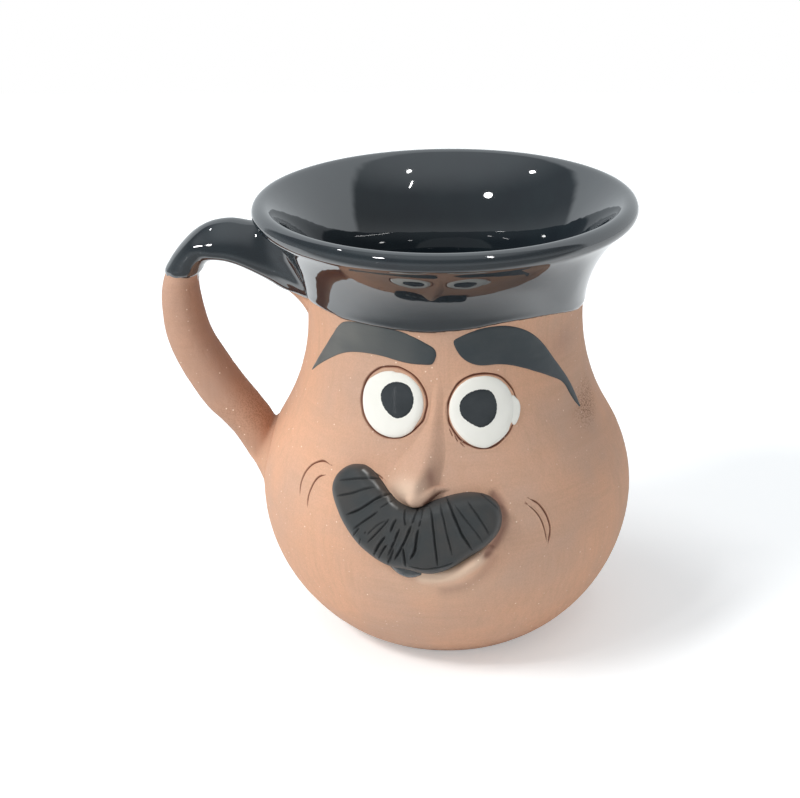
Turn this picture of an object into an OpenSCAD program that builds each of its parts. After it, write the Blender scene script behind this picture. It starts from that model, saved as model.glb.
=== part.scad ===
// A jarrito: a bellied earthenware mug with a flared, black-glazed mouth, a pulled
// handle and a modelled face. It stands on its foot with the origin at the centre of
// the foot, +Z up. The face looks along -Y and the handle reaches along -X.

/* [Pot] */
// Height of the mug from foot to lip
mug_h = 110; // [104:0.5:125]
// Radius of the flat foot
foot_r = 26.5; // [22:0.5:32]
// Radius of the belly at its widest
belly_r = 46.5; // [43:0.5:52]
// Height of the widest part of the belly
belly_z = 36; // [32:0.5:42]
// Radius of the curve from the belly up to the shoulder
shoulder_arc_r = 35; // [31:0.5:38]
// Radius of the waist under the flared mouth
neck_r = 33.5; // [30:0.5:37]
// Height of the waist
neck_z = 82.5; // [78:0.5:85]
// Outer radius of the glazed lip
rim_r = 46; // [42:0.5:52]
// Thickness of the glazed lip
lip_t = 4.6; // [3.8:0.1:6]
// Thickness of the clay wall
wall = 4.5; // [3.5:0.1:6]
// Thickness of the floor
floor_t = 6.5; // [5:0.5:9]
// Radius where the inside wall turns into the floor
floor_fillet_r = 12; // [8:0.5:16]

/* [Glaze] */
// Thickness of the glaze coat
glaze_t = 0.4; // [0.25:0.05:0.6]
// How far the mouth was dipped, measured down from the lip
dip_depth = 21.7; // [19:0.1:24]
// How much higher the glaze ends on the far side of the handle than on the pot
dip_rise = 3; // [0:0.1:4]

/* [Handle] */
// How far the handle stands out past the belly
handle_out = 23.6; // [18:0.2:28]
// Thickness of the handle where it is thickest
handle_t = 11.6; // [9:0.1:13]
// Width of the handle where it is widest
handle_w = 14.4; // [11:0.1:18]
// Distance from the lip down to the top of the handle
handle_drop = 6; // [5:0.1:9]
// Height at which the tail of the handle runs out on the belly
handle_tail_z = 34; // [30:0.5:38]
// Thickness of the slip that bonds the handle to the pot
luting_t = 0.5; // [0.4:0.05:0.7]

/* [Eyes] */
// Radius of the white of an eye
eye_r = 7.6; // [6.5:0.1:8.2]
// Thickness of the white at its crown
eye_t = 0.9; // [0.7:0.05:1.2]
// Clear clay between the two incised eye rings
eye_gap = 4.4; // [3.6:0.1:6]
// Width of the incised ring round an eye
ring_w = 0.6; // [0.4:0.05:0.8]
// Depth of the incised ring
ring_depth = 0.7; // [0.4:0.05:1]
// Radius of an iris
iris_r = 4.25; // [3.4:0.05:4.8]
// Thickness of the iris
iris_t = 0.35; // [0.25:0.05:0.5]

/* [Brows] */
// Length of a brow along its curve
brow_l = 40; // [34:0.5:43]
// Greatest width of a brow
brow_w = 8.4; // [6:0.1:9]
// Thickness of the slip that a brow is painted with
brow_t = 0.35; // [0.25:0.05:0.5]

/* [Nose] */
// Length of the nose from bridge to tip
nose_l = 26; // [23:0.2:27]
// Width of the nose at its wings
nose_w = 12.4; // [10:0.2:13]
// How far the tip stands off the pot
nose_h = 6.4; // [5:0.1:8]

/* [Moustache] */
// Reach of the moustache from the point it fans out from
moustache_r = 26; // [24:0.2:28]
// Thickness of the moustache
moustache_t = 4.6; // [3.6:0.1:5.6]
// Number of combed grooves across the moustache
rib_count = 18; // [12:1:24]
// Depth of the combed grooves
rib_depth = 0.55; // [0.3:0.05:0.8]

/* [Mouth] */
// How far the lower lip stands off the pot
lip_bulge = 3.4; // [2.4:0.1:4.4]
// Thickness of the dark slip of the mouth
mouth_t = 0.5; // [0.35:0.05:0.8]

/* [Cheeks] */
// Radius of the incised smile creases
crease_r = 8.5; // [7:0.1:10]
// Width of a crease at its middle
crease_w = 0.8; // [0.5:0.05:1]
// Depth of the creases
crease_depth = 0.5; // [0.3:0.05:0.8]

/* [Face] */
// How far the middle of the eyes lies below the dip line
eye_drop = 18.2; // [16:0.1:21]
// How far the face leans clockwise, in degrees
face_lean = 6; // [0:0.5:8]
// Clearance between a fired-on piece and the surface that carries it
seat_gap = 0.08; // [0.05:0.01:0.12]

/* [Hidden] */
$fn = 96;

clay = [0.75, 0.54, 0.42];
wet_clay = [0.66, 0.45, 0.34];
black_glaze = [0.07, 0.09, 0.10];
brow_slip = [0.25, 0.27, 0.28];
white_glaze = [0.95, 0.94, 0.90];
iris_slip = [0.13, 0.16, 0.18];

// Curves of the clay pot, all arcs in the plane of radius and height
lip_x = rim_r - lip_t / 2;
lip_z = mug_h - lip_t / 2;
lip_clay_r = lip_t / 2 - glaze_t;
foot_arc_r = (pow(belly_r - foot_r, 2) + pow(belly_z, 2)) / (2 * (belly_r - foot_r));
foot_arc_x = belly_r - foot_arc_r;
shoulder_x = belly_r - shoulder_arc_r;
waist_in = neck_r - shoulder_x;
waist_up = neck_z - belly_z;
neck_arc_r = (pow(waist_in, 2) + pow(waist_up, 2) - pow(shoulder_arc_r, 2))
             / (2 * (shoulder_arc_r - waist_in));
neck_arc_x = neck_r + neck_arc_r;
shoulder_turn = atan2(waist_up, neck_arc_x - shoulder_x);
shoulder_z = belly_z + shoulder_arc_r * sin(shoulder_turn);
flare_up = lip_z - neck_z;
flare_arc_r = (pow(lip_x - neck_r, 2) + pow(flare_up, 2) - pow(lip_clay_r, 2))
              / (2 * (lip_x - neck_r + lip_clay_r));
flare_x = neck_r + flare_arc_r;
flare_turn = atan2(flare_up, flare_x - lip_x);
flare_top_z = neck_z + flare_arc_r * sin(flare_turn);

// Curves of the inside
throat_r = neck_r - wall;
throat_arc_r = (pow(lip_x - throat_r, 2) + pow(flare_up, 2) - pow(lip_clay_r, 2))
               / (2 * (lip_x - throat_r - lip_clay_r));
throat_x = throat_r + throat_arc_r;
throat_turn = atan2(flare_up, throat_x - lip_x);
fillet_z = floor_t + floor_fillet_r;
fillet_x = foot_arc_x + sqrt(pow(foot_arc_r - wall - floor_fillet_r, 2)
                             - pow(belly_z - fillet_z, 2));
fillet_turn = atan2(fillet_z - belly_z, fillet_x - foot_arc_x);

// Steps along each curve
arc_steps = 16;
small_steps = 8;

// Height of the dip line, where the bare clay of the face ends
dip_z = mug_h - dip_depth;

// Points on an arc of radius r round (x, z) from angle a to angle b
function arc(x, z, r, a, b, steps) =
    [for (i = [0:steps]) let (t = a + (b - a) * i / steps) [x + r * cos(t), z + r * sin(t)]];

// The outside of the clay, from the foot up to the lip, moved outward by d
function outer_curve(d) = concat(
    arc(foot_arc_x, belly_z, foot_arc_r + d,
        -acos((foot_r - foot_arc_x) / foot_arc_r), 0, arc_steps),
    arc(shoulder_x, belly_z, shoulder_arc_r + d, 0, shoulder_turn, arc_steps),
    arc(neck_arc_x, neck_z, neck_arc_r - d, 180 + shoulder_turn, 180, arc_steps),
    arc(flare_x, neck_z, flare_arc_r - d, 180, 180 - flare_turn, arc_steps));

// That curve below and above the dip line, wherever the line runs. Clay and glaze have
// the same points above it, so that one lies on the other
function on_dip(d) = [pot_r(dip_z), dip_z] + d * pot_out(dip_z);
function wall_below(d) = let (clay_curve = outer_curve(0), moved = outer_curve(d))
    [for (i = [0:len(moved) - 1]) if (clay_curve[i][1] < dip_z - seat_gap) moved[i]];
function wall_above(d) = let (clay_curve = outer_curve(0), moved = outer_curve(d))
    concat([on_dip(d)],
           [for (i = [0:len(moved) - 1]) if (clay_curve[i][1] > dip_z + seat_gap) moved[i]]);
function outer_wall(d) = concat(wall_below(d), wall_above(d));

// The lip, from the outer flare over the top to the throat
function lip_round(d) =
    arc(lip_x, lip_z, lip_clay_r + d, -flare_turn, 180 - throat_turn, arc_steps);

// The inside of the clay from the throat down to the axis, moved into the mug by d
function inner_wall(d) = concat(
    arc(throat_x, neck_z, throat_arc_r + d, 180 - throat_turn, 180, arc_steps),
    arc(neck_arc_x, neck_z, neck_arc_r + wall + d, 180, 180 + shoulder_turn, arc_steps),
    arc(shoulder_x, belly_z, shoulder_arc_r - wall - d, shoulder_turn, 0, arc_steps),
    arc(foot_arc_x, belly_z, foot_arc_r - wall - d, 0, fillet_turn, small_steps),
    arc(fillet_x, fillet_z, floor_fillet_r - d, fillet_turn, -90, small_steps),
    [[0, floor_t + d]]);

// The same list from its last point to its first
function reversed(points) = [for (i = [len(points) - 1:-1:0]) points[i]];

// Points of a path without those that repeat the one before
function distinct(points, least) =
    [for (i = [0:len(points) - 1])
        if (i == 0 || norm(points[i] - points[max(i - 1, 0)]) > least) points[i]];

// Radius of the clay at height z
function pot_r(z) =
    z < belly_z ? foot_arc_x + sqrt(max(0, pow(foot_arc_r, 2) - pow(z - belly_z, 2)))
    : z < shoulder_z ? shoulder_x + sqrt(max(0, pow(shoulder_arc_r, 2) - pow(z - belly_z, 2)))
    : z < neck_z ? neck_arc_x - sqrt(pow(neck_arc_r, 2) - pow(z - neck_z, 2))
    : z < flare_top_z ? flare_x - sqrt(pow(flare_arc_r, 2) - pow(z - neck_z, 2))
    : lip_x + sqrt(max(0, pow(lip_clay_r, 2) - pow(z - lip_z, 2)));

// Direction that points straight out of the clay at height z, as radius and height
function pot_out(z) =
    let (r = pot_r(z))
    z < belly_z ? [r - foot_arc_x, z - belly_z] / foot_arc_r
    : z < shoulder_z ? [r - shoulder_x, z - belly_z] / shoulder_arc_r
    : z < neck_z ? [neck_arc_x - r, neck_z - z] / neck_arc_r
    : [flare_x - r, neck_z - z] / flare_arc_r;

// A point of the face: x along the surface from its middle, height z, standing h off the clay
function on_pot(x, z, h) =
    let (r = pot_r(z), a = x / r * 180 / PI, out = pot_out(z), rr = r + h * out[0])
    [rr * sin(a), -rr * cos(a), z + h * out[1]];

// The face is drawn upright round the middle of the eyes and then leans
face_z = dip_z - eye_drop;
function face_x(u, v) = u * cos(face_lean) + v * sin(face_lean);
function face_height(u, v) = face_z - u * sin(face_lean) + v * cos(face_lean);
function on_face(u, v, h) = on_pot(face_x(u, v), face_height(u, v), h);

// A smooth curve through rows of numbers, with steps points to each row
function between(a, b, c, d, t) =
    0.5 * (2 * b + (c - a) * t + (2 * a - 5 * b + 4 * c - d) * t * t
           + (3 * b - a - 3 * c + d) * t * t * t);
function smooth_rows(rows, steps) =
    let (n = len(rows) - 1)
    [for (i = [0:n - 1]) for (s = [0:steps - 1])
        between(rows[max(i - 1, 0)], rows[i], rows[i + 1], rows[min(i + 2, n)], s / steps),
     rows[n]];

// Column c of rows, read at key in column 0
function read_at(rows, key, c) = lookup(key, [for (row = rows) [row[0], row[c]]]);

// Height of a rounded back across t from 0 to 1 with its peak at a given place
function crown(t, peak, round) =
    let (u = t < peak ? (peak - t) / peak : (t - peak) / (1 - peak))
    pow(max(0, 1 - pow(u, round)), 1 / round);

// Places across a strip, closer together at its edges
across_steps = 8;
function across(j) = (1 - cos(180 * j / across_steps)) / 2;

// A closed ring across a strip of the face, from edge point a to edge point b
function strip_ring(a, b, low, high, peak, round) = concat(
    [for (j = [0:across_steps]) let (t = across(j), p = a + (b - a) * t)
        on_face(p[0], p[1], low + (high - low) * crown(t, peak, round))],
    [for (j = [across_steps:-1:0]) let (t = across(j), p = a + (b - a) * t)
        on_face(p[0], p[1], seat_gap)]);

// A solid through rings that all have as many points, closed by a fan at each end
module loft(rings) {
    k = len(rings[0]);
    n = len(rings);
    first = sum_of(rings[0], 0) / k;
    last = sum_of(rings[n - 1], 0) / k;
    points = concat([for (ring = rings) each ring], [first, last]);
    sides = [for (i = [0:n - 2]) for (j = [0:k - 1]) let (m = (j + 1) % k)
        each [[i * k + j, i * k + m, (i + 1) * k + m], [i * k + j, (i + 1) * k + m, (i + 1) * k + j]]];
    start = [for (j = [0:k - 1]) [(j + 1) % k, j, n * k]];
    end = [for (j = [0:k - 1]) [(n - 1) * k + j, (n - 1) * k + (j + 1) % k, n * k + 1]];
    polyhedron(points, concat(sides, start, end));
}

// A skin through rings that go out along its outside and come back along its inside. The
// way back is split into triangles so that it lies on a loft through the same rings
module closed_loft(rings) {
    k = len(rings[0]);
    n = len(rings);
    sides = [for (i = [0:n - 1]) for (j = [0:k - 1]) let (m = (j + 1) % k, o = (i + 1) % n)
        each i < n / 2
            ? [[i * k + j, i * k + m, o * k + m], [i * k + j, o * k + m, o * k + j]]
            : [[i * k + j, i * k + m, o * k + j], [i * k + m, o * k + m, o * k + j]]];
    polyhedron([for (ring = rings) each ring], sides);
}

function sum_of(points, i) =
    i == len(points) - 1 ? points[i] : points[i] + sum_of(points, i + 1);

// Pot and glaze
body_outline = distinct(concat([[0, 0]], outer_wall(0), lip_round(0), inner_wall(0)), seat_gap);
engraving_over = wall;

// The band of clay that engraved lines may reach into, down to a given depth
module clay_skin(depth) {
    rotate_extrude()
        polygon(distinct(concat(outer_wall(-depth), reversed(outer_wall(engraving_over))), seat_gap));
}

// Turns its children so that a flat drawing lies over face point (x, z), facing outward
module over_face(x, z) {
    rotate([0, 0, x / pot_r(z) * 180 / PI])
        translate([0, -pot_r(z) - wall, z])
            rotate([90, 0, 0])
                translate([0, 0, -2 * wall])
                    linear_extrude(3 * wall)
                        children();
}

// Eyes: the middle of each lies half the clear gap plus a ring's radius from the midline,
// and the pair sits a little to one side, by a share of an eye's radius
ring_in = eye_r + seat_gap;
ring_out = ring_in + ring_w;
eye_shift_share = -0.05;
function eye_u(side) = side * (eye_gap / 2 + ring_out) + eye_shift_share * eye_r;

module eye_ring(side) {
    over_face(face_x(eye_u(side), 0), face_height(eye_u(side), 0))
        difference() {
            circle(ring_out);
            circle(ring_in);
        }
}

// Creases: place of the curve's centre as shares of the belly radius across and of the
// bare height up, then its radius as a share, middle direction and half its sweep
crease_shares = [
    [-0.63, 0.518, 1.00, 132, 52],
    [-0.56, 0.493, 1.02, 144, 38],
    [0.42, 0.468, 0.95, 25, 50],
    [0.39, 0.453, 1.01, 34, 34]];

// A crescent that is widest in the middle of its sweep and runs out at its ends
module crescent(r, w, half_sweep) {
    shift = w * (2 * r - w) / (2 * (r * (1 - cos(half_sweep)) - w));
    difference() {
        circle(r);
        translate([-shift, 0])
            circle(r + shift - w);
    }
}

module crease(row) {
    over_face(row[0] * belly_r, row[1] * dip_z)
        rotate(row[3])
            crescent(row[2] * crease_r, crease_w, row[4]);
}

module body() {
    color(clay)
        difference() {
            rotate_extrude()
                polygon(body_outline);
            intersection() {
                union()
                    for (side = [-1, 1])
                        eye_ring(side);
                clay_skin(ring_depth);
            }
            intersection() {
                union()
                    for (row = crease_shares)
                        crease(row);
                clay_skin(crease_depth);
            }
        }
}

module glaze_lining() {
    color(black_glaze)
        rotate_extrude()
            polygon(distinct(concat(inner_wall(0), reversed(inner_wall(glaze_t))), seat_gap));
}

// The collar is left open where the clay of the handle passes through it
module glaze_collar() {
    outline = concat(wall_above(0), lip_round(0),
                     reversed(lip_round(glaze_t)), reversed(wall_above(glaze_t)));
    color(black_glaze)
        difference() {
            rotate_extrude()
                polygon(distinct(outline, seat_gap));
            handle_root_hole();
        }
}

// Handle: each row is a section, from the root under the lip to the tail on the belly.
// It holds the stand-off of its middle from the pot and the height of its outer edge as
// shares of the handle's reach and span, thickness and width as shares of theirs, and the
// tilt of the thickness in degrees
handle_shares = [
    [0.11, 0.990, 2.46, 0.83, 73],
    [0.19, 0.989, 1.50, 0.92, 66],
    [0.37, 0.999, 1.03, 0.92, 68],
    [0.57, 0.978, 0.71, 0.89, 64],
    [0.74, 0.913, 0.59, 0.88, 42],
    [0.85, 0.796, 0.72, 0.90, 6],
    [0.86, 0.652, 0.87, 0.92, -6],
    [0.78, 0.497, 0.95, 0.94, -17],
    [0.55, 0.322, 0.97, 0.97, -28],
    [0.20, 0.201, 0.86, 1.00, -24],
    [0.00, 0.111, 0.80, 0.92, -21],
    [-0.12, 0.028, 0.55, 0.56, -15]];
handle_steps = 3;
handle_sides = 20;
handle_glaze_rows = 5;
handle_reach = belly_r + handle_out;
handle_top_z = mug_h - handle_drop;
handle_span = handle_top_z - handle_tail_z;
handle_rows = smooth_rows(handle_shares, handle_steps);

// Half the thickness of a section, and the height of its middle
function half_thick(row) = row[2] * handle_t / 2;
function middle_z(row) =
    handle_tail_z + row[1] * handle_span - half_thick(row) * sin(row[4]);

// Moves a point level with itself onto the pot's surface plus a gap
function to_pot(p, gap) =
    let (r = norm([p[0], p[1]]), to = pot_r(p[2]) + gap)
    [p[0] * to / r, p[1] * to / r, p[2]];

// The same, but only for a point that lies deeper than that
function off_pot(p, gap) =
    norm([p[0], p[1]]) < pot_r(p[2]) + gap ? to_pot(p, gap) : p;

// A section of the handle, made thicker all round by grow and held gap off the pot
function handle_ring(row, grow, gap) =
    [for (p = handle_section(row, grow, 1)) off_pot(p, gap)];

// An end of the handle, shrunk to a size and laid on the pot
function handle_end(row, grow, gap, size) =
    [for (p = handle_section(row, grow, size)) to_pot(p, gap)];

function handle_section(row, grow, size) =
    let (z = middle_z(row),
         x = pot_r(z) + row[0] * (handle_reach - pot_r(z)),
         t = size * (half_thick(row) + grow),
         w = size * (row[3] * handle_w / 2 + grow))
    [for (j = [0:handle_sides - 1]) let (a = -360 * j / handle_sides)
        [-x - t * cos(a) * cos(row[4]), w * sin(a), z + t * cos(a) * sin(row[4])]];

// Shares by which an end section shrinks to its middle on the pot
end_shares = [0.05, 0.35, 0.7];

module handle() {
    last = len(handle_rows) - 1;
    color(clay)
        loft(concat(
            [for (s = concat(end_shares, [1])) handle_end(handle_rows[0], 0, luting_t, s)],
            [for (i = [1:last - 1]) handle_ring(handle_rows[i], 0, luting_t)],
            [for (s = concat([1], reversed(end_shares)))
                handle_end(handle_rows[last], 0, luting_t, s)]));
}

// An oval on the pot behind the handle, at a height and a gap off the pot
function handle_oval(z, half_h, half_w, gap) =
    [for (j = [0:handle_sides - 1]) let (a = -360 * j / handle_sides)
        to_pot([-belly_r, half_w * sin(a), z + half_h * cos(a)], gap)];

// The slip under an end of the handle, a thin bed that shows as a bead round it
module luting(z, half_h, half_w) {
    back = seat_gap / 2;
    front = luting_t - 2 * seat_gap;
    sizes = concat(end_shares, [1]);
    color(wet_clay)
        loft(concat(
            [for (s = sizes) handle_oval(z, s * half_h, s * half_w, back)],
            [for (s = reversed(sizes)) handle_oval(z, s * half_h, s * half_w, front)]));
}

// The root's oval on the pot, and the oval of the tail up to where it leaves the belly
root_z = middle_z(handle_shares[0]);
root_half_h = half_thick(handle_shares[0]) * sin(handle_shares[0][4]);
root_half_w = handle_shares[0][3] * handle_w / 2;
tail_leave_share = 0.25;
tail_half_h = tail_leave_share * handle_span / 2;

module handle_top_luting() {
    luting(root_z, root_half_h, root_half_w + seat_gap);
}

module handle_foot_luting() {
    luting(handle_tail_z + tail_half_h, tail_half_h, root_half_w);
}

// The hole in the collar follows the outline of the handle's root
module handle_root_hole() {
    half_h = root_half_h + 2 * seat_gap;
    half_w = root_half_w + 2 * seat_gap;
    translate([-throat_r, 0, root_z])
        rotate([0, -90, 0])
            linear_extrude(rim_r - throat_r)
                polygon([for (j = [0:handle_sides - 1]) let (a = 360 * j / handle_sides)
                    [half_h * cos(a), half_w * sin(a)]]);
}

// The coat on the upper handle, from the collar to the dip line
module glaze_handle() {
    last = handle_glaze_rows * handle_steps;
    color(black_glaze)
        intersection() {
            closed_loft(concat(
                [handle_end(handle_rows[0], glaze_t, luting_t, 1)],
                [for (i = [1:last]) handle_ring(handle_rows[i], glaze_t, luting_t)],
                [for (i = [last:-1:1]) handle_ring(handle_rows[i], 0, luting_t)],
                [handle_end(handle_rows[0], 0, luting_t, 1)]));
            translate([0, handle_w, 0])
                rotate([90, 0, 0])
                    linear_extrude(2 * handle_w)
                        polygon([[-throat_r, dip_z], [-pot_r(dip_z), dip_z],
                                 [-handle_reach, dip_z + dip_rise],
                                 [-handle_reach, mug_h], [-throat_r, mug_h]]);
        }
}

// Nose: rows from the bridge down hold the height below the bridge as a share of its
// length, its left and right edges as shares of its width, its stand-off as a share of
// the tip's and the place of the ridge across it
nose_shares = [
    [0.00, -0.09, 0.06, 0.06, 0.50],
    [0.21, -0.15, 0.10, 0.17, 0.50],
    [0.44, -0.25, 0.14, 0.34, 0.53],
    [0.63, -0.44, 0.19, 0.58, 0.58],
    [0.79, -0.66, 0.24, 0.88, 0.64],
    [0.87, -0.73, 0.25, 1.00, 0.67],
    [0.93, -0.68, 0.13, 0.94, 0.66],
    [0.975, -0.52, -0.03, 0.66, 0.62],
    [1.00, -0.36, -0.12, 0.25, 0.55]];
nose_top_share = 0.212;
nose_round = 1.7;

module nose() {
    color(clay)
        loft([for (row = smooth_rows(nose_shares, 2))
            let (v = nose_l * (nose_top_share - row[0]))
            strip_ring([row[1] * nose_w, v], [row[2] * nose_w, v], 2 * seat_gap,
                       2 * seat_gap + row[3] * nose_h, row[4], nose_round)]);
}

// Moustache: a bean that fans out round a point under the nose. Rows hold a direction in
// degrees, the inner and outer edge as shares of its reach, and its thickness share
moustache_shares = [
    [-175, 0.64, 0.71, 0.35],
    [-172, 0.54, 0.87, 0.60],
    [-166, 0.485, 0.985, 0.80],
    [-158, 0.445, 1.00, 0.92],
    [-148, 0.42, 0.97, 1.00],
    [-136, 0.37, 0.94, 1.00],
    [-122, 0.31, 0.895, 1.00],
    [-106, 0.265, 0.845, 1.00],
    [-90, 0.205, 0.82, 1.00],
    [-74, 0.165, 0.785, 1.00],
    [-58, 0.155, 0.75, 1.00],
    [-44, 0.18, 0.76, 1.00],
    [-32, 0.22, 0.755, 0.94],
    [-22, 0.285, 0.71, 0.82],
    [-15, 0.36, 0.615, 0.62],
    [-11.5, 0.445, 0.50, 0.35]];
// The point that the hairs fan out from, as shares of the reach across and down
fan_u_share = 0.022;
fan_v_share = -0.58;
moustache_round = 2.4;
rib_steps = 3;
moustache_rows = smooth_rows(moustache_shares, 4);

// A point of the face at a reach and a direction from where the moustache fans out
function fan(reach, a) =
    [fan_u_share * moustache_r + reach * cos(a), fan_v_share * moustache_r + reach * sin(a)];

module moustache() {
    first = moustache_shares[0][0];
    last = moustache_shares[len(moustache_shares) - 1][0];
    stations = rib_count * rib_steps;
    color(brow_slip)
        loft([for (i = [0:stations])
            let (a = first + (last - first) * i / stations,
                 inner = read_at(moustache_rows, a, 1) * moustache_r,
                 outer = read_at(moustache_rows, a, 2) * moustache_r,
                 dent = i % rib_steps == 0 && i > 0 && i < stations ? rib_depth : 0,
                 high = read_at(moustache_rows, a, 3) * moustache_t - dent)
            strip_ring(fan(outer, a), fan(inner, a), 3 * seat_gap, high, 0.5, moustache_round)]);
}

// Mouth and lower lip lie under the moustache, in the same fan
mouth_shares = [
    [-116, 0.885, 0.90, 0.5],
    [-109, 0.875, 0.935, 1],
    [-101, 0.86, 0.94, 1],
    [-94, 0.85, 0.915, 1],
    [-89, 0.84, 0.86, 0.5]];
lip_shares = [
    [-105, 0.965, 1.00, 0.15],
    [-98, 0.955, 1.06, 0.45],
    [-88, 0.89, 1.11, 0.80],
    [-78, 0.84, 1.15, 1.00],
    [-68, 0.805, 1.15, 1.00],
    [-59, 0.79, 1.08, 0.85],
    [-51, 0.79, 0.97, 0.50],
    [-46, 0.79, 0.87, 0.15]];
lip_peak_share = 0.66;
lip_round_share = 1.7;
mouth_round = 2.4;

// A strip of the fan, from rows like the moustache's
module fan_strip(rows, high, steps, peak, round) {
    loft([for (row = smooth_rows(rows, steps))
        strip_ring(fan(row[2] * moustache_r, row[0]), fan(row[1] * moustache_r, row[0]),
                   3 * seat_gap, 3 * seat_gap + row[3] * high, peak, round)]);
}

module mouth() {
    color(iris_slip)
        fan_strip(mouth_shares, mouth_t, 3, 0.5, mouth_round);
}

module lower_lip() {
    color(clay)
        fan_strip(lip_shares, lip_bulge, 3, lip_peak_share, lip_round_share);
}

// Brows: rows hold places along the midline of the brow as shares of its length, across
// and up from the middle of the eyes, and half its width as a share
brow_left_shares = [
    [-0.03, 0.328, 0.22],
    [-0.085, 0.312, 0.66],
    [-0.16, 0.318, 0.84],
    [-0.27, 0.330, 0.90],
    [-0.42, 0.318, 0.88],
    [-0.54, 0.296, 0.90],
    [-0.66, 0.245, 0.86],
    [-0.77, 0.155, 0.60],
    [-0.89, 0.025, 0.28],
    [-1.00, -0.075, 0.06]];
brow_right_shares = [
    [0.048, 0.345, 0.24],
    [0.10, 0.362, 0.72],
    [0.18, 0.368, 0.95],
    [0.28, 0.372, 0.98],
    [0.41, 0.360, 1.00],
    [0.53, 0.325, 1.00],
    [0.615, 0.272, 0.86],
    [0.695, 0.210, 0.60],
    [0.81, 0.130, 0.38],
    [0.94, 0.020, 0.24],
    [1.02, -0.070, 0.06]];
brow_round = 3;

module brow(shares) {
    rows = smooth_rows(shares, 2);
    n = len(rows) - 1;
    color(brow_slip)
        loft([for (i = [0:n])
            let (p = [rows[i][0], rows[i][1]] * brow_l,
                 along = [rows[min(i + 1, n)][0] - rows[max(i - 1, 0)][0],
                          rows[min(i + 1, n)][1] - rows[max(i - 1, 0)][1]],
                 half = rows[i][2] * brow_w / 2 * [-along[1], along[0]] / norm(along))
            strip_ring(p - half, p + half, 2 * seat_gap,
                       seat_gap + brow_t, 0.5, brow_round)]);
}

module brow_left() {
    brow(brow_left_shares);
}

module brow_right() {
    brow(brow_right_shares);
}

// Eyes: a thin lens of white with a dark, slightly uneven disc on it
eye_sides = 28;
white_edge_share = 0.35;
iris_in_shares = [[0.1, 0.04], [-0.13, 0.03]];
iris_uneven_shares = [0.05, 0.04];

function white_height(s) = eye_t * (white_edge_share + (1 - white_edge_share) * (1 - s * s));

// A ring of radius r round the middle of an eye plus a shift, at heights that follow the
// white's dome when over_white is true
function eye_points(side, shift, r, h, over_white, uneven) =
    [for (j = [0:eye_sides - 1])
        let (a = -360 * j / eye_sides,
             rr = r * (1 + uneven[0] * cos(2 * a + 40) + uneven[1] * cos(3 * a - 25)),
             du = shift[0] + rr * cos(a),
             dv = shift[1] + rr * sin(a),
             dome = over_white ? white_height(norm([du, dv]) / eye_r) : 0)
        on_face(eye_u(side) + du, dv, h + dome)];

disc_shares = [0.05, 0.4, 0.75];
edge_share = 0.96;

module eye_white(side) {
    rims = [0, 0];
    color(white_glaze)
        loft(concat(
            [for (s = concat(disc_shares, [1]))
                eye_points(side, [0, 0], s * eye_r, seat_gap, false, rims)],
            [eye_points(side, [0, 0], eye_r, white_height(1) * edge_share, false, rims)],
            [for (s = concat([edge_share], reversed(disc_shares)))
                eye_points(side, [0, 0], s * eye_r, white_height(s), false, rims)]));
}

module iris(side, shift_shares) {
    shift = shift_shares * eye_r;
    color(iris_slip)
        loft(concat(
            [for (s = concat(disc_shares, [1]))
                eye_points(side, shift, s * iris_r, seat_gap, true, iris_uneven_shares)],
            [for (s = concat([edge_share], reversed(disc_shares)))
                eye_points(side, shift, s * iris_r, iris_t, true, iris_uneven_shares)]));
}

module eye_white_left() {
    eye_white(-1);
}

module eye_white_right() {
    eye_white(1);
}

module iris_left() {
    iris(-1, iris_in_shares[0]);
}

module iris_right() {
    iris(1, iris_in_shares[1]);
}

body();
handle();
handle_top_luting();
handle_foot_luting();
glaze_lining();
glaze_collar();
glaze_handle();
nose();
moustache();
mouth();
lower_lip();
brow_left();
brow_right();
eye_white_left();
eye_white_right();
iris_left();
iris_right();
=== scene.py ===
"""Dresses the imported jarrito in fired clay, slip and glaze and lights it for its photograph.

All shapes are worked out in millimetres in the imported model's frame: the foot's centre is the
origin, the face looks along -Y, the handle reaches along -X and +Z is up.
"""
from __future__ import annotations

import logging
import math
from dataclasses import dataclass, field
from enum import Enum
from typing import Callable, Sequence

import bmesh
import bpy
import numpy as np
from bpy.types import ID, Material, Node, NodeSocket, NodeTree, Object, World
from mathutils import Matrix, Vector, noise
from mathutils.geometry import delaunay_2d_cdt

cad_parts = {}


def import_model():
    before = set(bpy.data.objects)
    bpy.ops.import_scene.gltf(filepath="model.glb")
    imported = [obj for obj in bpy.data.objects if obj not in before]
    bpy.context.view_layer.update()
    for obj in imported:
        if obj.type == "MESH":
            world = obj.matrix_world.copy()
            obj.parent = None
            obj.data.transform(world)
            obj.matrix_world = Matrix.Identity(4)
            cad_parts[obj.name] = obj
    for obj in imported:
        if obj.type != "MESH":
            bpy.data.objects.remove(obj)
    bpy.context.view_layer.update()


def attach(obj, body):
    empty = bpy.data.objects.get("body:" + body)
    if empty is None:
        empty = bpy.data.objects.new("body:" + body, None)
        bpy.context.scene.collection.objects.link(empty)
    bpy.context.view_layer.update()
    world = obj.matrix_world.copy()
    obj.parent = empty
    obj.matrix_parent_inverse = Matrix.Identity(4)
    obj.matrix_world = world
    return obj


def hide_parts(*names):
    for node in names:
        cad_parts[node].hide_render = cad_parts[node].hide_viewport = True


LOG = logging.getLogger("jarrito")
MM = 0.001
BODY = "root"
Array = np.ndarray
Lift = Callable[[Array, Array, Array], Array]
Height = Callable[[Array, Array], Array]
Marks = Callable[[Array, Array], dict[str, Array]]
Places = tuple[tuple[float, ...], ...]
# Spacing of an outline's points where distances to it are measured
FINE = 0.1
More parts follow.
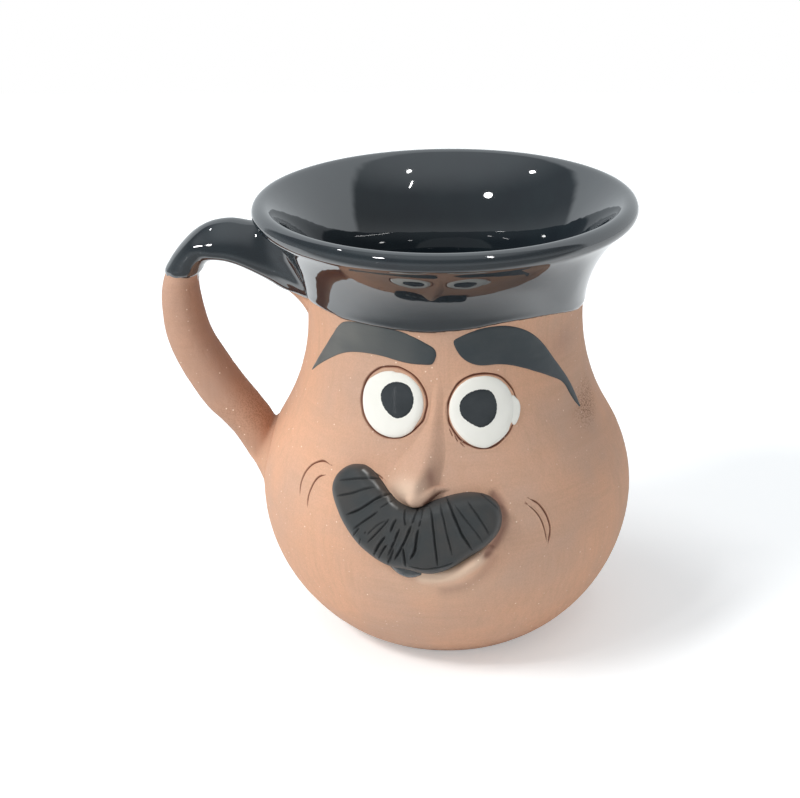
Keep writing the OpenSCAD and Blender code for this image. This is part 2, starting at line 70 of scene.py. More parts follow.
# Distances from a piece's outline at which its rounded edge gets a ring of points
EDGE_RINGS = (0.06, 0.15, 0.3, 0.5, 0.75)
FINE_RINGS = (0.05, 0.14, 0.28, 0.5, 0.75)
# Settings that many nodes share
COLOURS = {"data_type": "RGBA"}
SMOOTHLY = {"interpolation_type": "SMOOTHSTEP"}
TIMES = {"operation": "MULTIPLY"}
LESS = {"operation": "SUBTRACT"}
LARGER = {"operation": "MAXIMUM"}
FALL = {3: 1.0, 4: 0.0}


def to_linear(code: str) -> tuple[float, float, float, float]:
    """Turns an sRGB hex colour into linear red, green, blue and alpha.

    Args:
        code: The colour, such as "#C08E70".

    Returns:
        Linear channels with an alpha of one.
    """
    channels = [int(code[i:i + 2], 16) / 255 for i in (1, 3, 5)]
    linear = [c / 12.92 if c <= 0.04045 else ((c + 0.055) / 1.055) ** 2.4 for c in channels]
    return (linear[0], linear[1], linear[2], 1.0)


def add(tree: NodeTree, kind: str, settings: dict | None = None,
        values: dict | None = None) -> Node:
    """Adds a node, sets its properties and fills or links its inputs.

    Args:
        tree: The node tree that gets the node.
        kind: The node's type name.
        settings: Properties of the node by name.
        values: Input sockets by name or index, each a number, a colour, a socket to link, or a
            node whose first live output is linked.

    Returns:
        The new node.
    """
    made = tree.nodes.new(kind)
    for key, value in (settings or {}).items():
        setattr(made, key, value)
    for key, value in (values or {}).items():
        if isinstance(value, Node):
            value = next(socket for socket in value.outputs if socket.enabled)
        if isinstance(value, NodeSocket):
            tree.links.new(value, made.inputs[key])
        else:
            made.inputs[key].default_value = value
    return made


def cleared(owner: Material | World) -> NodeTree:
    """Gives a material or a world an empty node tree.

    Args:
        owner: The material or the world.

    Returns:
        Its node tree.
    """
    owner.use_nodes = True
    owner.node_tree.nodes.clear()
    return owner.node_tree


def put(name: str, data: ID) -> Object:
    """Adds an object to the scene.

    Args:
        name: Its name.
        data: Its mesh, camera or lamp.

    Returns:
        The object.
    """
    obj = bpy.data.objects.new(name, data)
    bpy.context.scene.collection.objects.link(obj)
    return obj


def curve_through(rows: Sequence[Sequence[float]], steps: int, closed: bool = False) -> Array:
    """Runs a smooth Catmull-Rom curve through rows of numbers.

    Args:
        rows: Rows of equal length.
        steps: Points made for each gap between rows.
        closed: Whether the last row joins the first.

    Returns:
        The points of the curve, one to a row.
    """
    p = np.asarray(rows, float)
    n = len(p)
    picks = range(n) if closed else range(n - 1)
    t = np.linspace(0, 1, steps, endpoint=False)[:, None]
    out = []
    for i in picks:
        if closed:
            a, b, c, d = p[i - 1], p[i], p[(i + 1) % n], p[(i + 2) % n]
        else:
            a, b, c, d = p[max(i - 1, 0)], p[i], p[i + 1], p[min(i + 2, n - 1)]
        out.append(0.5 * (2 * b + (c - a) * t + (2 * a - 5 * b + 4 * c - d) * t ** 2
                          + (3 * b - a - 3 * c + d) * t ** 3))
    if not closed:
        out.append(p[-1:])
    return np.vstack(out)


def evenly(points: Array, gap: float, closed: bool = False) -> Array:
    """Spaces the points of a path evenly.

    Args:
        points: The path.
        gap: The spacing that is aimed for.
        closed: Whether the path is a loop.

    Returns:
        The new points, without a repeated last point on a loop.
    """
    path = np.vstack([points, points[:1]]) if closed else points
    along = np.concatenate([[0], np.cumsum(np.linalg.norm(np.diff(path[:, :2], axis=0), axis=1))])
    count = max(2, int(round(along[-1] / gap)))
    at = np.linspace(0, along[-1], count + 1)
    if closed:
        at = at[:-1]
    return np.stack([np.interp(at, along, path[:, k]) for k in range(path.shape[1])], axis=1)


def nearest(points: Array, targets: Array) -> Array:
    """Distance from each point to the nearest target.

    Args:
        points: Points in the plane or in space.
        targets: Targets of the same dimension.

    Returns:
        One distance for each point.
    """
    out = np.empty(len(points))
    block = max(1, 4_000_000 // max(1, len(targets)))
    for i in range(0, len(points), block):
        gap = points[i:i + block, None, :] - targets[None, :, :]
        out[i:i + block] = np.sqrt((gap ** 2).sum(axis=2)).min(axis=1)
    return out


def smoothstep(low: float, high: float, x: Array) -> Array:
    """Rises smoothly from 0 at low to 1 at high."""
    t = np.clip((np.asarray(x, float) - low) / (high - low), 0, 1)
    return t * t * (3 - 2 * t)


def rounded(away: Array, edge: float) -> Array:
    """Rises from 0 at the outline to 1 at a distance, like the round edge of a blob."""
    return np.sqrt(np.maximum(0, 1 - (1 - np.clip(away / edge, 0, 1)) ** 2))


def wander(points: Array, size: float, seed: float) -> Array:
    """Soft random values over a surface.

    Args:
        points: Places in space, in millimetres.
        size: Length over which the values change, in millimetres.
        seed: Moves the pattern, so that each use differs.

    Returns:
        Values between about -1 and 1.
    """
    shift = Vector((seed, -seed * 0.7, seed * 1.3))
    return np.array([noise.noise(Vector(p) / size + shift) for p in points])


def wander_flat(x: Array, z: Array, size: float, seed: float) -> Array:
    """The same soft random values, for places on the opened-out face."""
    return wander(np.stack([x, np.full_like(x, 7.0), z], axis=1), size, seed)


def faded(x: Array, z: Array, path: Places, reach: float, gap: float = 0.3) -> Array:
    """Fades from 1 on a path of the face to 0 a little past its reach.

    Args:
        x: Places along the surface from the face's middle.
        z: Their heights.
        path: The path.
        reach: Distance at which about a third is left.
        gap: Spacing of the path's points.

    Returns:
        One amount for each place.
    """
    line = evenly(curve_through(path, 8), gap)
    return np.exp(-(nearest(np.column_stack([x, z]), line) / reach) ** 2)


def around(r: Array | float, turn: Array, z: Array | float) -> Array:
    """Points at a radius, a turn round the axis from the face's middle and a height."""
    return np.stack([r * np.sin(turn), -r * np.cos(turn), np.broadcast_to(z, turn.shape)], axis=1)


def unit(ways: Array) -> Array:
    """Directions of length one."""
    return ways / np.maximum(1e-6, np.linalg.norm(ways, axis=-1, keepdims=True))


def along_skin(ways: Array, out: Array) -> Array:
    """Directions laid flat on a surface, given the directions out of it."""
    return unit(ways - out * (ways * out).sum(axis=1)[:, None])


def honeycomb(low: Sequence[float], high: Sequence[float], gap: float) -> Array:
    """Places in staggered rows that fill a rectangle.

    Args:
        low: The rectangle's lowest corner.
        high: Its highest corner.
        gap: Spacing of the places.

    Returns:
        The places.
    """
    # Rows at this share of the gap make triangles with nearly equal sides
    rows = np.arange(low[1], high[1], gap * 0.866)
    return np.array([(x + (j % 2) * gap / 2, z) for j, z in enumerate(rows)
                     for x in np.arange(low[0], high[0], gap)])


def tube_faces(count: int, sides: int, joined: bool) -> list[tuple[int, ...]]:
    """Faces between rings of points.

    Args:
        count: How many rings there are.
        sides: How many points each ring has.
        joined: Whether the last ring joins the first.

    Returns:
        Faces that look outward where the rings turn clockwise, seen from the first one.
    """
    faces = []
    for i in range(count if joined else count - 1):
        here, there = i * sides, (i + 1) % count * sides
        for j in range(sides):
            m = (j + 1) % sides
            faces.append((here + m, here + j, there + j, there + m))
    return faces


@dataclass(frozen=True)
class PotForm:
    """Curves of the thrown pot as the CAD has them, in millimetres."""

    height: float = 110.0
    foot_radius: float = 26.5
    belly_radius: float = 46.5
    belly_z: float = 36.0
    shoulder_arc: float = 35.0
    neck_radius: float = 33.5
    neck_z: float = 82.5
    rim_radius: float = 46.0
    lip: float = 4.6
    wall: float = 4.5
    floor: float = 6.5
    fillet: float = 12.0
    glaze: float = 0.4

    @property
    def lip_centre(self) -> tuple[float, float]:
        """Radius and height of the middle of the rolled lip."""
        return self.rim_radius - self.lip / 2, self.height - self.lip / 2

    @property
    def lip_clay(self) -> float:
        """Radius of the clay inside the glazed lip."""
        return self.lip / 2 - self.glaze

    @property
    def foot_arc(self) -> tuple[float, float]:
        """Centre and radius of the curve from the foot to the belly."""
        out = self.belly_radius - self.foot_radius
        r = (out ** 2 + self.belly_z ** 2) / (2 * out)
        return self.belly_radius - r, r

    @property
    def neck_arc(self) -> tuple[float, float, float]:
        """Centre, radius and turn of the hollow curve of the waist."""
        across = self.neck_radius - (self.belly_radius - self.shoulder_arc)
        up = self.neck_z - self.belly_z
        r = (across ** 2 + up ** 2 - self.shoulder_arc ** 2) / (2 * (self.shoulder_arc - across))
        centre = self.neck_radius + r
        return centre, r, math.atan2(up, centre - (self.belly_radius - self.shoulder_arc))

    def lip_arc(self, start: float, side: int) -> tuple[float, float, float]:
        """Centre, radius and turn of the curve from the waist up to the lip.

        Args:
            start: Radius of the pot where the curve starts.
            side: One for the outside of the pot, minus one for its inside.

        Returns:
            Radius of the curve's centre from the axis, the curve's radius and its turn.
        """
        x, z = self.lip_centre
        up = z - self.neck_z
        r = (((x - start) ** 2 + up ** 2 - self.lip_clay ** 2)
             / (2 * (x - start + side * self.lip_clay)))
        centre = start + r
        return centre, r, math.atan2(up, centre - x)

    @property
    def flare_arc(self) -> tuple[float, float, float]:
        """Centre, radius and turn of the outside of the flare."""
        return self.lip_arc(self.neck_radius, 1)

    @property
    def flare_top(self) -> float:
        """Height at which the flare meets the lip."""
        return self.neck_z + self.flare_arc[1] * math.sin(self.flare_arc[2])

    @property
    def throat_arc(self) -> tuple[float, float, float]:
        """Centre, radius and turn of the inside of the flare."""
        return self.lip_arc(self.neck_radius - self.wall, -1)

    def radius(self, z: Array) -> Array:
        """Radius of the clay's outside at each height.

        Args:
            z: The heights.

        Returns:
            One radius for each height.
        """
        z = np.asarray(z, float)
        foot_x, foot_r = self.foot_arc
        neck_x, neck_r, turn = self.neck_arc
        flare_x, flare_r, _ = self.flare_arc
        lip_x, lip_z = self.lip_centre

        def half_chord(r: float, middle: float) -> Array:
            """Half the width of a circle at each height."""
            return np.sqrt(np.maximum(0, r ** 2 - (z - middle) ** 2))

        low = foot_x + half_chord(foot_r, self.belly_z)
        shoulder = self.belly_radius - self.shoulder_arc + half_chord(
            self.shoulder_arc, self.belly_z)
        neck = neck_x - half_chord(neck_r, self.neck_z)
        flare = flare_x - half_chord(flare_r, self.neck_z)
        lip = lip_x + half_chord(self.lip_clay, lip_z)
        shoulder_top = self.belly_z + self.shoulder_arc * math.sin(turn)
        return np.select([z < self.belly_z, z < shoulder_top, z < self.neck_z,
                          z < self.flare_top], [low, shoulder, neck, flare], lip)

    def outward(self, z: Array) -> tuple[Array, Array]:
        """Direction out of the clay at each height.

        Args:
            z: The heights.

        Returns:
            Its radial parts and its upward parts.
        """
        z = np.asarray(z, float)
        step = 0.05
        slope = (self.radius(z + step) - self.radius(z - step)) / (2 * step)
        size = np.sqrt(1 + slope ** 2)
        return 1 / size, -slope / size

    def outward_turned(self, turn: Array, z: Array) -> Array:
        """Directions out of the clay at a turn round the axis and a height."""
        across, up = self.outward(z)
        return around(across, turn, up)

    def place_turned(self, turn: Array, z: Array, lift: Array) -> Array:
        """Points at a turn round the axis from the face's middle, a height and a lift."""
        across, up = self.outward(z)
        return around(self.radius(z) + lift * across, turn, z + lift * up)

    def place(self, x: Array, z: Array, lift: Array) -> Array:
        """Points of the face: x along the surface from its middle, height z, lift off the clay."""
        return self.place_turned(x / self.radius(z), z, lift)

    def inside(self, gap: float) -> tuple[Array, Array]:
        """The outline from the flare over the lip and down the inside to the axis.

        Args:
            gap: Spacing of the points, in millimetres.

        Returns:
            Points as radius and height, and the directions out of the clay.
        """
        lip_x, lip_z = self.lip_centre
        throat_x, throat_r, throat = self.throat_arc
        neck_x, neck_r, turn = self.neck_arc
        foot_x, foot_r = self.foot_arc
        flare = self.flare_arc[2]
        rise = self.floor + self.fillet
        inner = foot_r - self.wall - self.fillet
        corner = foot_x + math.sqrt(inner ** 2 - (self.belly_z - rise) ** 2)
        low = math.atan2(rise - self.belly_z, corner - foot_x)
        arcs = [
            (lip_x, lip_z, self.lip_clay, -flare, math.pi - throat, 1, gap * 0.5),
            (throat_x, self.neck_z, throat_r, math.pi - throat, math.pi, 1, gap),
            (neck_x, self.neck_z, neck_r + self.wall, math.pi, math.pi + turn, 1, gap),
            (self.belly_radius - self.shoulder_arc, self.belly_z, self.shoulder_arc - self.wall,
             turn, 0, -1, gap),
            (foot_x, self.belly_z, foot_r - self.wall, 0, low, -1, gap),
            (corner, rise, self.fillet, low, -math.pi / 2, -1, gap)]
        points, ways = [], []
        for cx, cz, r, a, b, side, step in arcs:
            t = np.linspace(a, b, max(3, int(abs(b - a) * r / step)))[:-1]
            points.append(np.stack([cx + r * np.cos(t), cz + r * np.sin(t)], axis=1))
            ways.append(side * np.stack([np.cos(t), np.sin(t)], axis=1))
        reach = np.linspace(corner, 0, 8)
        points.append(np.stack([reach, np.full_like(reach, self.floor)], axis=1))
        ways.append(np.tile([0.0, 1.0], (len(reach), 1)))
        return np.vstack(points), np.vstack(ways)


FORM = PotForm()


class Sockets(Enum):
    """Kinds of socket that the node groups of this scene ask for."""

    GEOMETRY = "NodeSocketGeometry"
    OBJECT = "NodeSocketObject"
    FLOAT = "NodeSocketFloat"
    INT = "NodeSocketInt"
    MATERIAL = "NodeSocketMaterial"


def new_group(name: str, sockets: dict[str, Sockets]) -> tuple[NodeTree, Node]:
    """Starts a geometry node tree with named inputs and one geometry output.

    Args:
        name: Name of the tree.
        sockets: The inputs that follow the geometry input.

    Returns:
        The tree and its group input node.
    """
    tree = bpy.data.node_groups.new(name, "GeometryNodeTree")
    tree.interface.new_socket("Geometry", in_out="INPUT", socket_type=Sockets.GEOMETRY.value)
    for label, kind in sockets.items():
        tree.interface.new_socket(label, in_out="INPUT", socket_type=kind.value)
    tree.interface.new_socket("Geometry", in_out="OUTPUT", socket_type=Sockets.GEOMETRY.value)
    return tree, add(tree, "NodeGroupInput")


def finish_group(tree: NodeTree, source: Node, shape: Node) -> None:
    """Ends a tree in Realize Instances and Set Material.

    Args:
        tree: The tree.
        source: Its group input node.
        shape: The node whose geometry the tree gives.
    """
    whole = add(tree, "GeometryNodeRealizeInstances", values={"Geometry": shape})
    dressed = add(tree, "GeometryNodeSetMaterial",
                  values={"Geometry": whole, "Material": source.outputs["Material"]})
    add(tree, "NodeGroupOutput", values={0: dressed})


def bake_group(obj: Object, tree: NodeTree, values: dict[str, object]) -> Object:
    """Runs a geometry node tree on an object and keeps the result as its plain mesh.

    Args:
        obj: The object that the tree works on.
        tree: The tree.
        values: Inputs of the tree by name.

    Returns:
        The same object with the new mesh and no modifier.
    """
    modifier = obj.modifiers.new(tree.name, "NODES")
    modifier.node_group = tree
    for item in tree.interface.items_tree:
        if item.in_out == "INPUT" and item.name in values:
            modifier[item.identifier] = values[item.name]
    bpy.context.view_layer.update()
    evaluated = obj.evaluated_get(bpy.context.evaluated_depsgraph_get())
    mesh = bpy.data.meshes.new_from_object(evaluated)
    obj.modifiers.remove(modifier)
    old = obj.data
    obj.data = mesh
    mesh.name = obj.name
    bpy.data.meshes.remove(old)
    mesh.shade_smooth()
    return obj


def make_object(name: str, points: Array, faces: Sequence[Sequence[int]],
                marks: dict[str, Array] | None = None) -> Object:
    """Makes a smooth mesh object from points in millimetres.

    Args:
        name: Name of the piece.
        points: Its points.
        faces: Its faces, wound so that they look outward.
        marks: Float attributes by name, one value to a point.

    Returns:
        The object, already linked to the scene.
    """
    mesh = bpy.data.meshes.new(name)
    mesh.from_pydata((np.asarray(points) * MM).tolist(), [], [tuple(map(int, f)) for f in faces])
    mesh.validate()
    mesh.shade_smooth()
    for key, value in (marks or {}).items():
        layer = mesh.attributes.new(key, "FLOAT", "POINT")
        layer.data.foreach_set("value", np.asarray(value, np.float32))
    return put(name, mesh)


@dataclass(frozen=True)
class Stroke:
    """A line cut into soft clay, as places on the face with a width and a depth."""

    places: Places
    half_width: float
    depth: float
    closed: bool = False
    taper: float = 1.0

    def line(self, gap: float) -> Array:
        """Evenly spaced places along the stroke with their half width and depth.

        Args:
            gap: Spacing in millimetres.

        Returns:
            Rows of x, z, half width and depth.
        """
        path = evenly(curve_through(self.places, 8, self.closed), gap, self.closed)
        t = np.linspace(0, 1, len(path))
        ends = np.ones_like(t) if self.closed else np.clip(2.2 * np.sin(np.pi * np.clip(
            t, 0.01, 0.99)), 0, 1) ** (0.7 * self.taper)
        shake = 1 + 0.22 * wander_flat(path[:, 0], path[:, 1], 2.2, 3.0)
        return np.column_stack([path, self.half_width * ends * shake, self.depth * ends * shake])


def engraving_tree() -> NodeTree:
    """Makes a tree that presses lines into a surface and marks how deep each point lies.

    Returns:
        The tree.
    """
    tree, source = new_group("Press lines into clay", {
        "Lines": Sockets.OBJECT, "Burr": Sockets.FLOAT, "Material": Sockets.MATERIAL})
    lines = add(tree, "GeometryNodeObjectInfo", {"transform_space": "ORIGINAL"},
                {"Object": source.outputs["Lines"]}).outputs["Geometry"]
    gap = add(tree, "GeometryNodeProximity", {"target_element": "POINTS"}, {0: lines})
    index = add(tree, "GeometryNodeSampleNearest", {"domain": "POINT"}, {0: lines})
    read = {}
    for label in ("half_width", "depth"):
        named = add(tree, "GeometryNodeInputNamedAttribute", {"data_type": "FLOAT"},
                    {"Name": label})
        read[label] = add(tree, "GeometryNodeSampleIndex",
                          {"data_type": "FLOAT", "domain": "POINT"},
                          {0: lines, 1: named, "Index": index})
    across = add(tree, "ShaderNodeMath", {"operation": "DIVIDE"},
                 {0: gap.outputs["Distance"], 1: read["half_width"]})
    groove = add(tree, "ShaderNodeMapRange", SMOOTHLY, {"Value": across, 1: 0.0, 2: 1.0, **FALL})
    # The clay that the tool pushes aside stands up beside the groove
    swell = add(tree, "ShaderNodeMapRange", SMOOTHLY, {"Value": across, 1: 1.0, 2: 2.2, **FALL})
    edge = add(tree, "ShaderNodeMath", LESS, {0: swell, 1: groove})
    burr = add(tree, "ShaderNodeMath", TIMES, {0: edge, 1: source.outputs["Burr"]})
    profile = add(tree, "ShaderNodeMath", LESS, {0: burr, 1: groove})
    sink = add(tree, "ShaderNodeMath", TIMES, {0: profile, 1: read["depth"]})
    move = add(tree, "ShaderNodeVectorMath", {"operation": "SCALE"},
               {0: add(tree, "GeometryNodeInputNormal"), "Scale": sink})
    # The groove's share is kept for the materials, which paint shade into the grooves with it
    kept = add(tree, "GeometryNodeStoreNamedAttribute", {"data_type": "FLOAT", "domain": "POINT"},
               {"Geometry": source.outputs["Geometry"], "Name": "cut", "Value": groove})
    pressed = add(tree, "GeometryNodeSetPosition", values={"Geometry": kept, "Offset": move})
    finish_group(tree, source, pressed)
    return tree


def lathe_tree() -> NodeTree:
    """Makes a tree that turns an outline round the pot's axis, as a wheel does.

    Returns:
        The tree.
    """
    tree, source = new_group("Throw on the wheel", {
        "Columns": Sockets.INT, "Rail radius": Sockets.FLOAT, "Material": Sockets.MATERIAL})
    rail = add(tree, "GeometryNodeCurvePrimitiveCircle", {"mode": "RADIUS"},
               {"Resolution": source.outputs["Columns"], "Radius": source.outputs["Rail radius"]})
    upright = add(tree, "GeometryNodeSetCurveNormal", {"mode": "Z_UP"}, {0: rail})
    outline = add(tree, "GeometryNodeMeshToCurve", values={0: source.outputs["Geometry"]})
    thrown = add(tree, "GeometryNodeCurveToMesh",
                 values={"Curve": upright, "Profile Curve": outline})
    closed = add(tree, "GeometryNodeMergeByDistance", values={"Geometry": thrown, "Distance": 1e-6})
    finish_group(tree, source, add(tree, "GeometryNodeFlipFaces", values={"Mesh": closed}))
    return tree


def press(obj: Object, rows: list[Array], lift: Height, burr: float, finish: Material) -> Object:
    """Presses strokes into a piece.

    Args:
        obj: The piece.
        rows: Lines as x, z, half width and depth in millimetres.
        lift: Height of the piece's surface over the clay at each place.
        burr: Height of the raised edge as a share of the depth.
        finish: Material of the piece.

    Returns:
        The piece with its grooves, and how deep each point lies stored as "cut".
    """
    table = np.vstack(rows)
    x, z = table[:, 0], table[:, 1]
    lines = make_object("stroke_lines", FORM.place(x, z, lift(x, z)), [],
                        {"half_width": table[:, 2] * MM, "depth": table[:, 3] * MM})
    bake_group(obj, engraving_tree(), {"Lines": lines, "Burr": burr, "Material": finish})
    bpy.data.objects.remove(lines)
    return obj


def triangles(points: Array, loop: int) -> tuple[Array, Array]:
    """Joins places on the opened-out face with well-shaped triangles.

    Args:
        points: The places; the first of them are the boundary loop, in order.
        loop: How many places the loop has, or none for the whole hull.

    Returns:
        The places in the triangulation's order, and the triangles.
    """
    edges = [(i, (i + 1) % loop) for i in range(loop)]
    # Kind 1 keeps the triangles inside the loop, and kind 0 keeps the whole hull
    out = delaunay_2d_cdt([Vector(p) for p in points], edges, [], 1 if loop else 0, 1e-7)
    return np.array([tuple(v) for v in out[0]]), np.array(out[2])


def within(places: Array, loop: Array) -> Array:
    """Tells which places lie inside a loop, by counting its sides to their right.

    Args:
        places: The places.
        loop: The loop's points in order.

    Returns:
        Whether each place lies inside.
    """
    ahead = np.roll(loop, -1, axis=0)
    crossing = ((loop[None, :, 1] > places[:, None, 1]) != (ahead[None, :, 1] > places[:, None, 1]))
    span = np.where(ahead[:, 1] == loop[:, 1], 1e-9, ahead[:, 1] - loop[:, 1])
    at = (ahead[None, :, 0] - loop[None, :, 0]) * (places[:, None, 1] - loop[None, :, 1]) / span
    return (crossing & (places[:, None, 0] < loop[None, :, 0] + at)).sum(axis=1) % 2 == 1


def patch(name: str, outline: Array, lift: Lift, gap: float, sink: float = 0.6,
          marks: Marks | None = None, rings: Sequence[float] = EDGE_RINGS) -> Object:
    """Lays a closed piece of clay, slip or glaze on the pot.

    Args:
        name: Name of the piece.
        outline: Its outline on the opened-out face.
        lift: Height over the clay from x, z and the distance to the outline.
        gap: Spacing of its points in millimetres.
        sink: How far its hidden back lies under the clay's surface.
        marks: Makes float attributes from x and z.
        rings: Distances from the outline that get a ring of points each.

    Returns:
        The piece.
    """
    loop = evenly(outline, gap, closed=True)
    after = np.roll(loop, -1, axis=0)
    if np.sum(loop[:, 0] * after[:, 1] - after[:, 0] * loop[:, 1]) < 0:
        loop = loop[::-1]
    fine = evenly(loop, FINE, closed=True)
    way = np.roll(loop, -1, axis=0) - np.roll(loop, 1, axis=0)
    inward = np.stack([-way[:, 1], way[:, 0]], axis=1) / np.linalg.norm(way, axis=1)[:, None]
    parts = [loop]
    for step in rings:
        ring = loop + inward * step
        parts.append(ring[nearest(ring, fine) > step * 0.9])
    grid = honeycomb(loop.min(axis=0), loop.max(axis=0), gap)
    grid = grid[within(grid, loop)]
    parts.append(grid[nearest(grid, fine) > rings[-1] + gap * 0.5])
    flat, faces = triangles(np.vstack(parts), len(loop))
    x, z = flat[:, 0], flat[:, 1]
    away = nearest(flat, fine)
    # Places on the outline lie at most half of the fine spacing from its points
    away[away < FINE * 0.51] = 0
    n = len(flat)
    points = np.vstack([FORM.place(x, z, lift(x, z, away)), FORM.place(x, z, np.full(n, -sink))])
    seen = dict.fromkeys(pair for a, b, c in faces for pair in ((a, b), (b, c), (c, a)))
    sides = [(b, a, a + n, b + n) for a, b in seen if (b, a) not in seen]
    whole = [tuple(f) for f in faces] + [(c + n, b + n, a + n) for a, b, c in faces] + sides
    values = {key: np.concatenate([v, v]) for key, v in (marks(x, z) if marks else {}).items()}
    return make_object(name, points, whole, values)


@dataclass(frozen=True)
class FiredClay:
    """Unglazed low-fired earthenware, thrown and wiped: matt, with mica that catches light."""

    name: str = "Wiped earthenware"
    clay: str = "#CFA992"
    warm: str = "#DFAD8E"
    ashen: str = "#C59D80"
    # The cut colour is painted shade that darkens the pressed grooves
    cut: str = "#6A3424"
    # Stain colour that also paints shade in hollows, folds and on the handle's side by the pot
    ruddy: str = "#9A7263"
    # Pale dust colour that also paints a highlight along the lit top of the lower lip
    dust: str = "#E7CCB4"
    smudge: str = "#865C41"
    mica: str = "#FFE9D2"
    roughness: float = 0.82
    # How often a pattern repeats in a metre: iron clouds of 22 mm, level sponge streaks 1.5 mm
    # apart, upright finger streaks as fine, the patches of 26 mm where they lie, sand grains of
    # 0.4 mm, and at most one mica flake in each 1.4 mm
    clouds: float = 45.0
    sponged: tuple[float, ...] = (30.0, 30.0, 650.0)
    fingered: tuple[float, ...] = (700.0, 700.0, 40.0)
    patches: float = 38.0
    sand: float = 2600.0
    flakes: float = 720.0
    # How much of the streaks and of the sand shows, and the share of cells without a flake
    streaked: float = 0.34
    sanded: float = 0.35
    empty: float = 0.69

    def streaks(self, tree: NodeTree, where: NodeSocket) -> Node:
        """Adds the streaks of the wiping: level from the sponge, here and there upright.

        Args:
            tree: The material's node tree.
            where: The object coordinates.

        Returns:
            The node whose value is the pattern of the streaks.
        """
        wiped = []
        for scale, detail in ((self.sponged, 4.0), (self.fingered, 3.0)):
            drawn_out = add(tree, "ShaderNodeMapping", values={"Vector": where, "Scale": scale})
            wiped.append(add(tree, "ShaderNodeTexNoise", values={
                "Vector": drawn_out, "Scale": 1.0, "Detail": detail, "Roughness": 0.6}))
        patchy = add(tree, "ShaderNodeTexNoise", values={
            "Vector": where, "Scale": self.patches, "Detail": 1.0})
        share = add(tree, "ShaderNodeMapRange", values={"Value": patchy, 1: 0.46, 2: 0.56})
        return add(tree, "ShaderNodeMix", values={"Factor": share, 2: wiped[0], 3: wiped[1]})

    def make(self) -> Material:
        """Builds the material.

        Returns:
            The material, with its patterns on object coordinates.
        """
        material = bpy.data.materials.new(self.name)
        tree = cleared(material)
        where = add(tree, "ShaderNodeTexCoord").outputs["Object"]
        # Uneven iron in the body clouds its colour
        cloud = add(tree, "ShaderNodeTexNoise", values={
            "Vector": where, "Scale": self.clouds, "Detail": 3.0})
        share = add(tree, "ShaderNodeMapRange", values={"Value": cloud, 1: 0.35, 2: 0.65})
        base = add(tree, "ShaderNodeMix", COLOURS, {
            "Factor": share, 6: to_linear(self.clay), 7: to_linear(self.warm)})
        streak = self.streaks(tree, where)
        share = add(tree, "ShaderNodeMapRange", values={
            "Value": streak, 1: 0.42, 2: 0.72, 3: 0.0, 4: self.streaked})
        wiped = add(tree, "ShaderNodeMix", COLOURS, {
            "Factor": share, 6: base, 7: to_linear(self.ashen)})
        # Sand grains pit the wiped skin
        grain = add(tree, "ShaderNodeTexNoise", values={
            "Vector": where, "Scale": self.sand, "Detail": 2.0})
        speckle = add(tree, "ShaderNodeMapRange", values={
            "Value": grain, 1: 0.3, 2: 0.7, 3: 0.82, 4: 1.12})
        shown = add(tree, "ShaderNodeMix", {**COLOURS, "blend_type": "MULTIPLY"}, {
            "Factor": self.sanded, 6: wiped, 7: speckle})
        coarse = add(tree, "ShaderNodeMapRange", values={"Value": grain, 1: 0.45, 2: 0.6})
        # Mixed in by attribute: dust with a painted highlight, stains with painted shade, smudges,
        # and painted shade in the grooves
        for label, code, strength in (("dust", self.dust, 0.75), ("ruddy", self.ruddy, 0.8),
                                      ("smudge", self.smudge, coarse), ("cut", self.cut, 1.0)):
            amount = add(tree, "ShaderNodeAttribute", {"attribute_name": label}).outputs["Fac"]
            scaled = add(tree, "ShaderNodeMath", TIMES, {0: amount, 1: strength})
            shown = add(tree, "ShaderNodeMix", COLOURS, {
                "Factor": scaled, 6: shown, 7: to_linear(code)})
        # Mica flakes of about 0.15 mm are drawn at about 0.3 mm, so that they show
        flakes = add(tree, "ShaderNodeTexVoronoi", values={"Vector": where, "Scale": self.flakes})
        near = add(tree, "ShaderNodeMapRange", values={
            "Value": flakes.outputs["Distance"], 1: 0.06, 2: 0.17, **FALL})
        some = add(tree, "ShaderNodeSeparateColor", values={0: flakes.outputs["Color"]})
        few = add(tree, "ShaderNodeMath", {"operation": "GREATER_THAN"}, {0: some, 1: self.empty})
        glint = add(tree, "ShaderNodeMath", TIMES, {0: near, 1: few})
        amount = add(tree, "ShaderNodeMath", TIMES, {0: glint, 1: some.outputs[1]})
        bright = add(tree, "ShaderNodeMix", COLOURS, {
            "Factor": amount, 6: shown, 7: to_linear(self.mica)})
        rough = add(tree, "ShaderNodeMapRange", values={
            "Value": glint, 1: 0.0, 2: 1.0, 3: self.roughness, 4: 0.35})
        skin = add(tree, "ShaderNodeBump", values={
            "Strength": 0.35, "Distance": 0.12 * MM, "Height": grain})
        wipes = add(tree, "ShaderNodeBump", values={
            "Strength": 0.3, "Distance": 0.25 * MM, "Height": streak, "Normal": skin})
        surface = add(tree, "ShaderNodeBsdfPrincipled", values={
            "Base Color": bright, "Roughness": rough, "Normal": wipes,
            "IOR": 1.5, "Specular IOR Level": 0.35})
        add(tree, "ShaderNodeOutputMaterial", values={"Surface": surface})
        return material


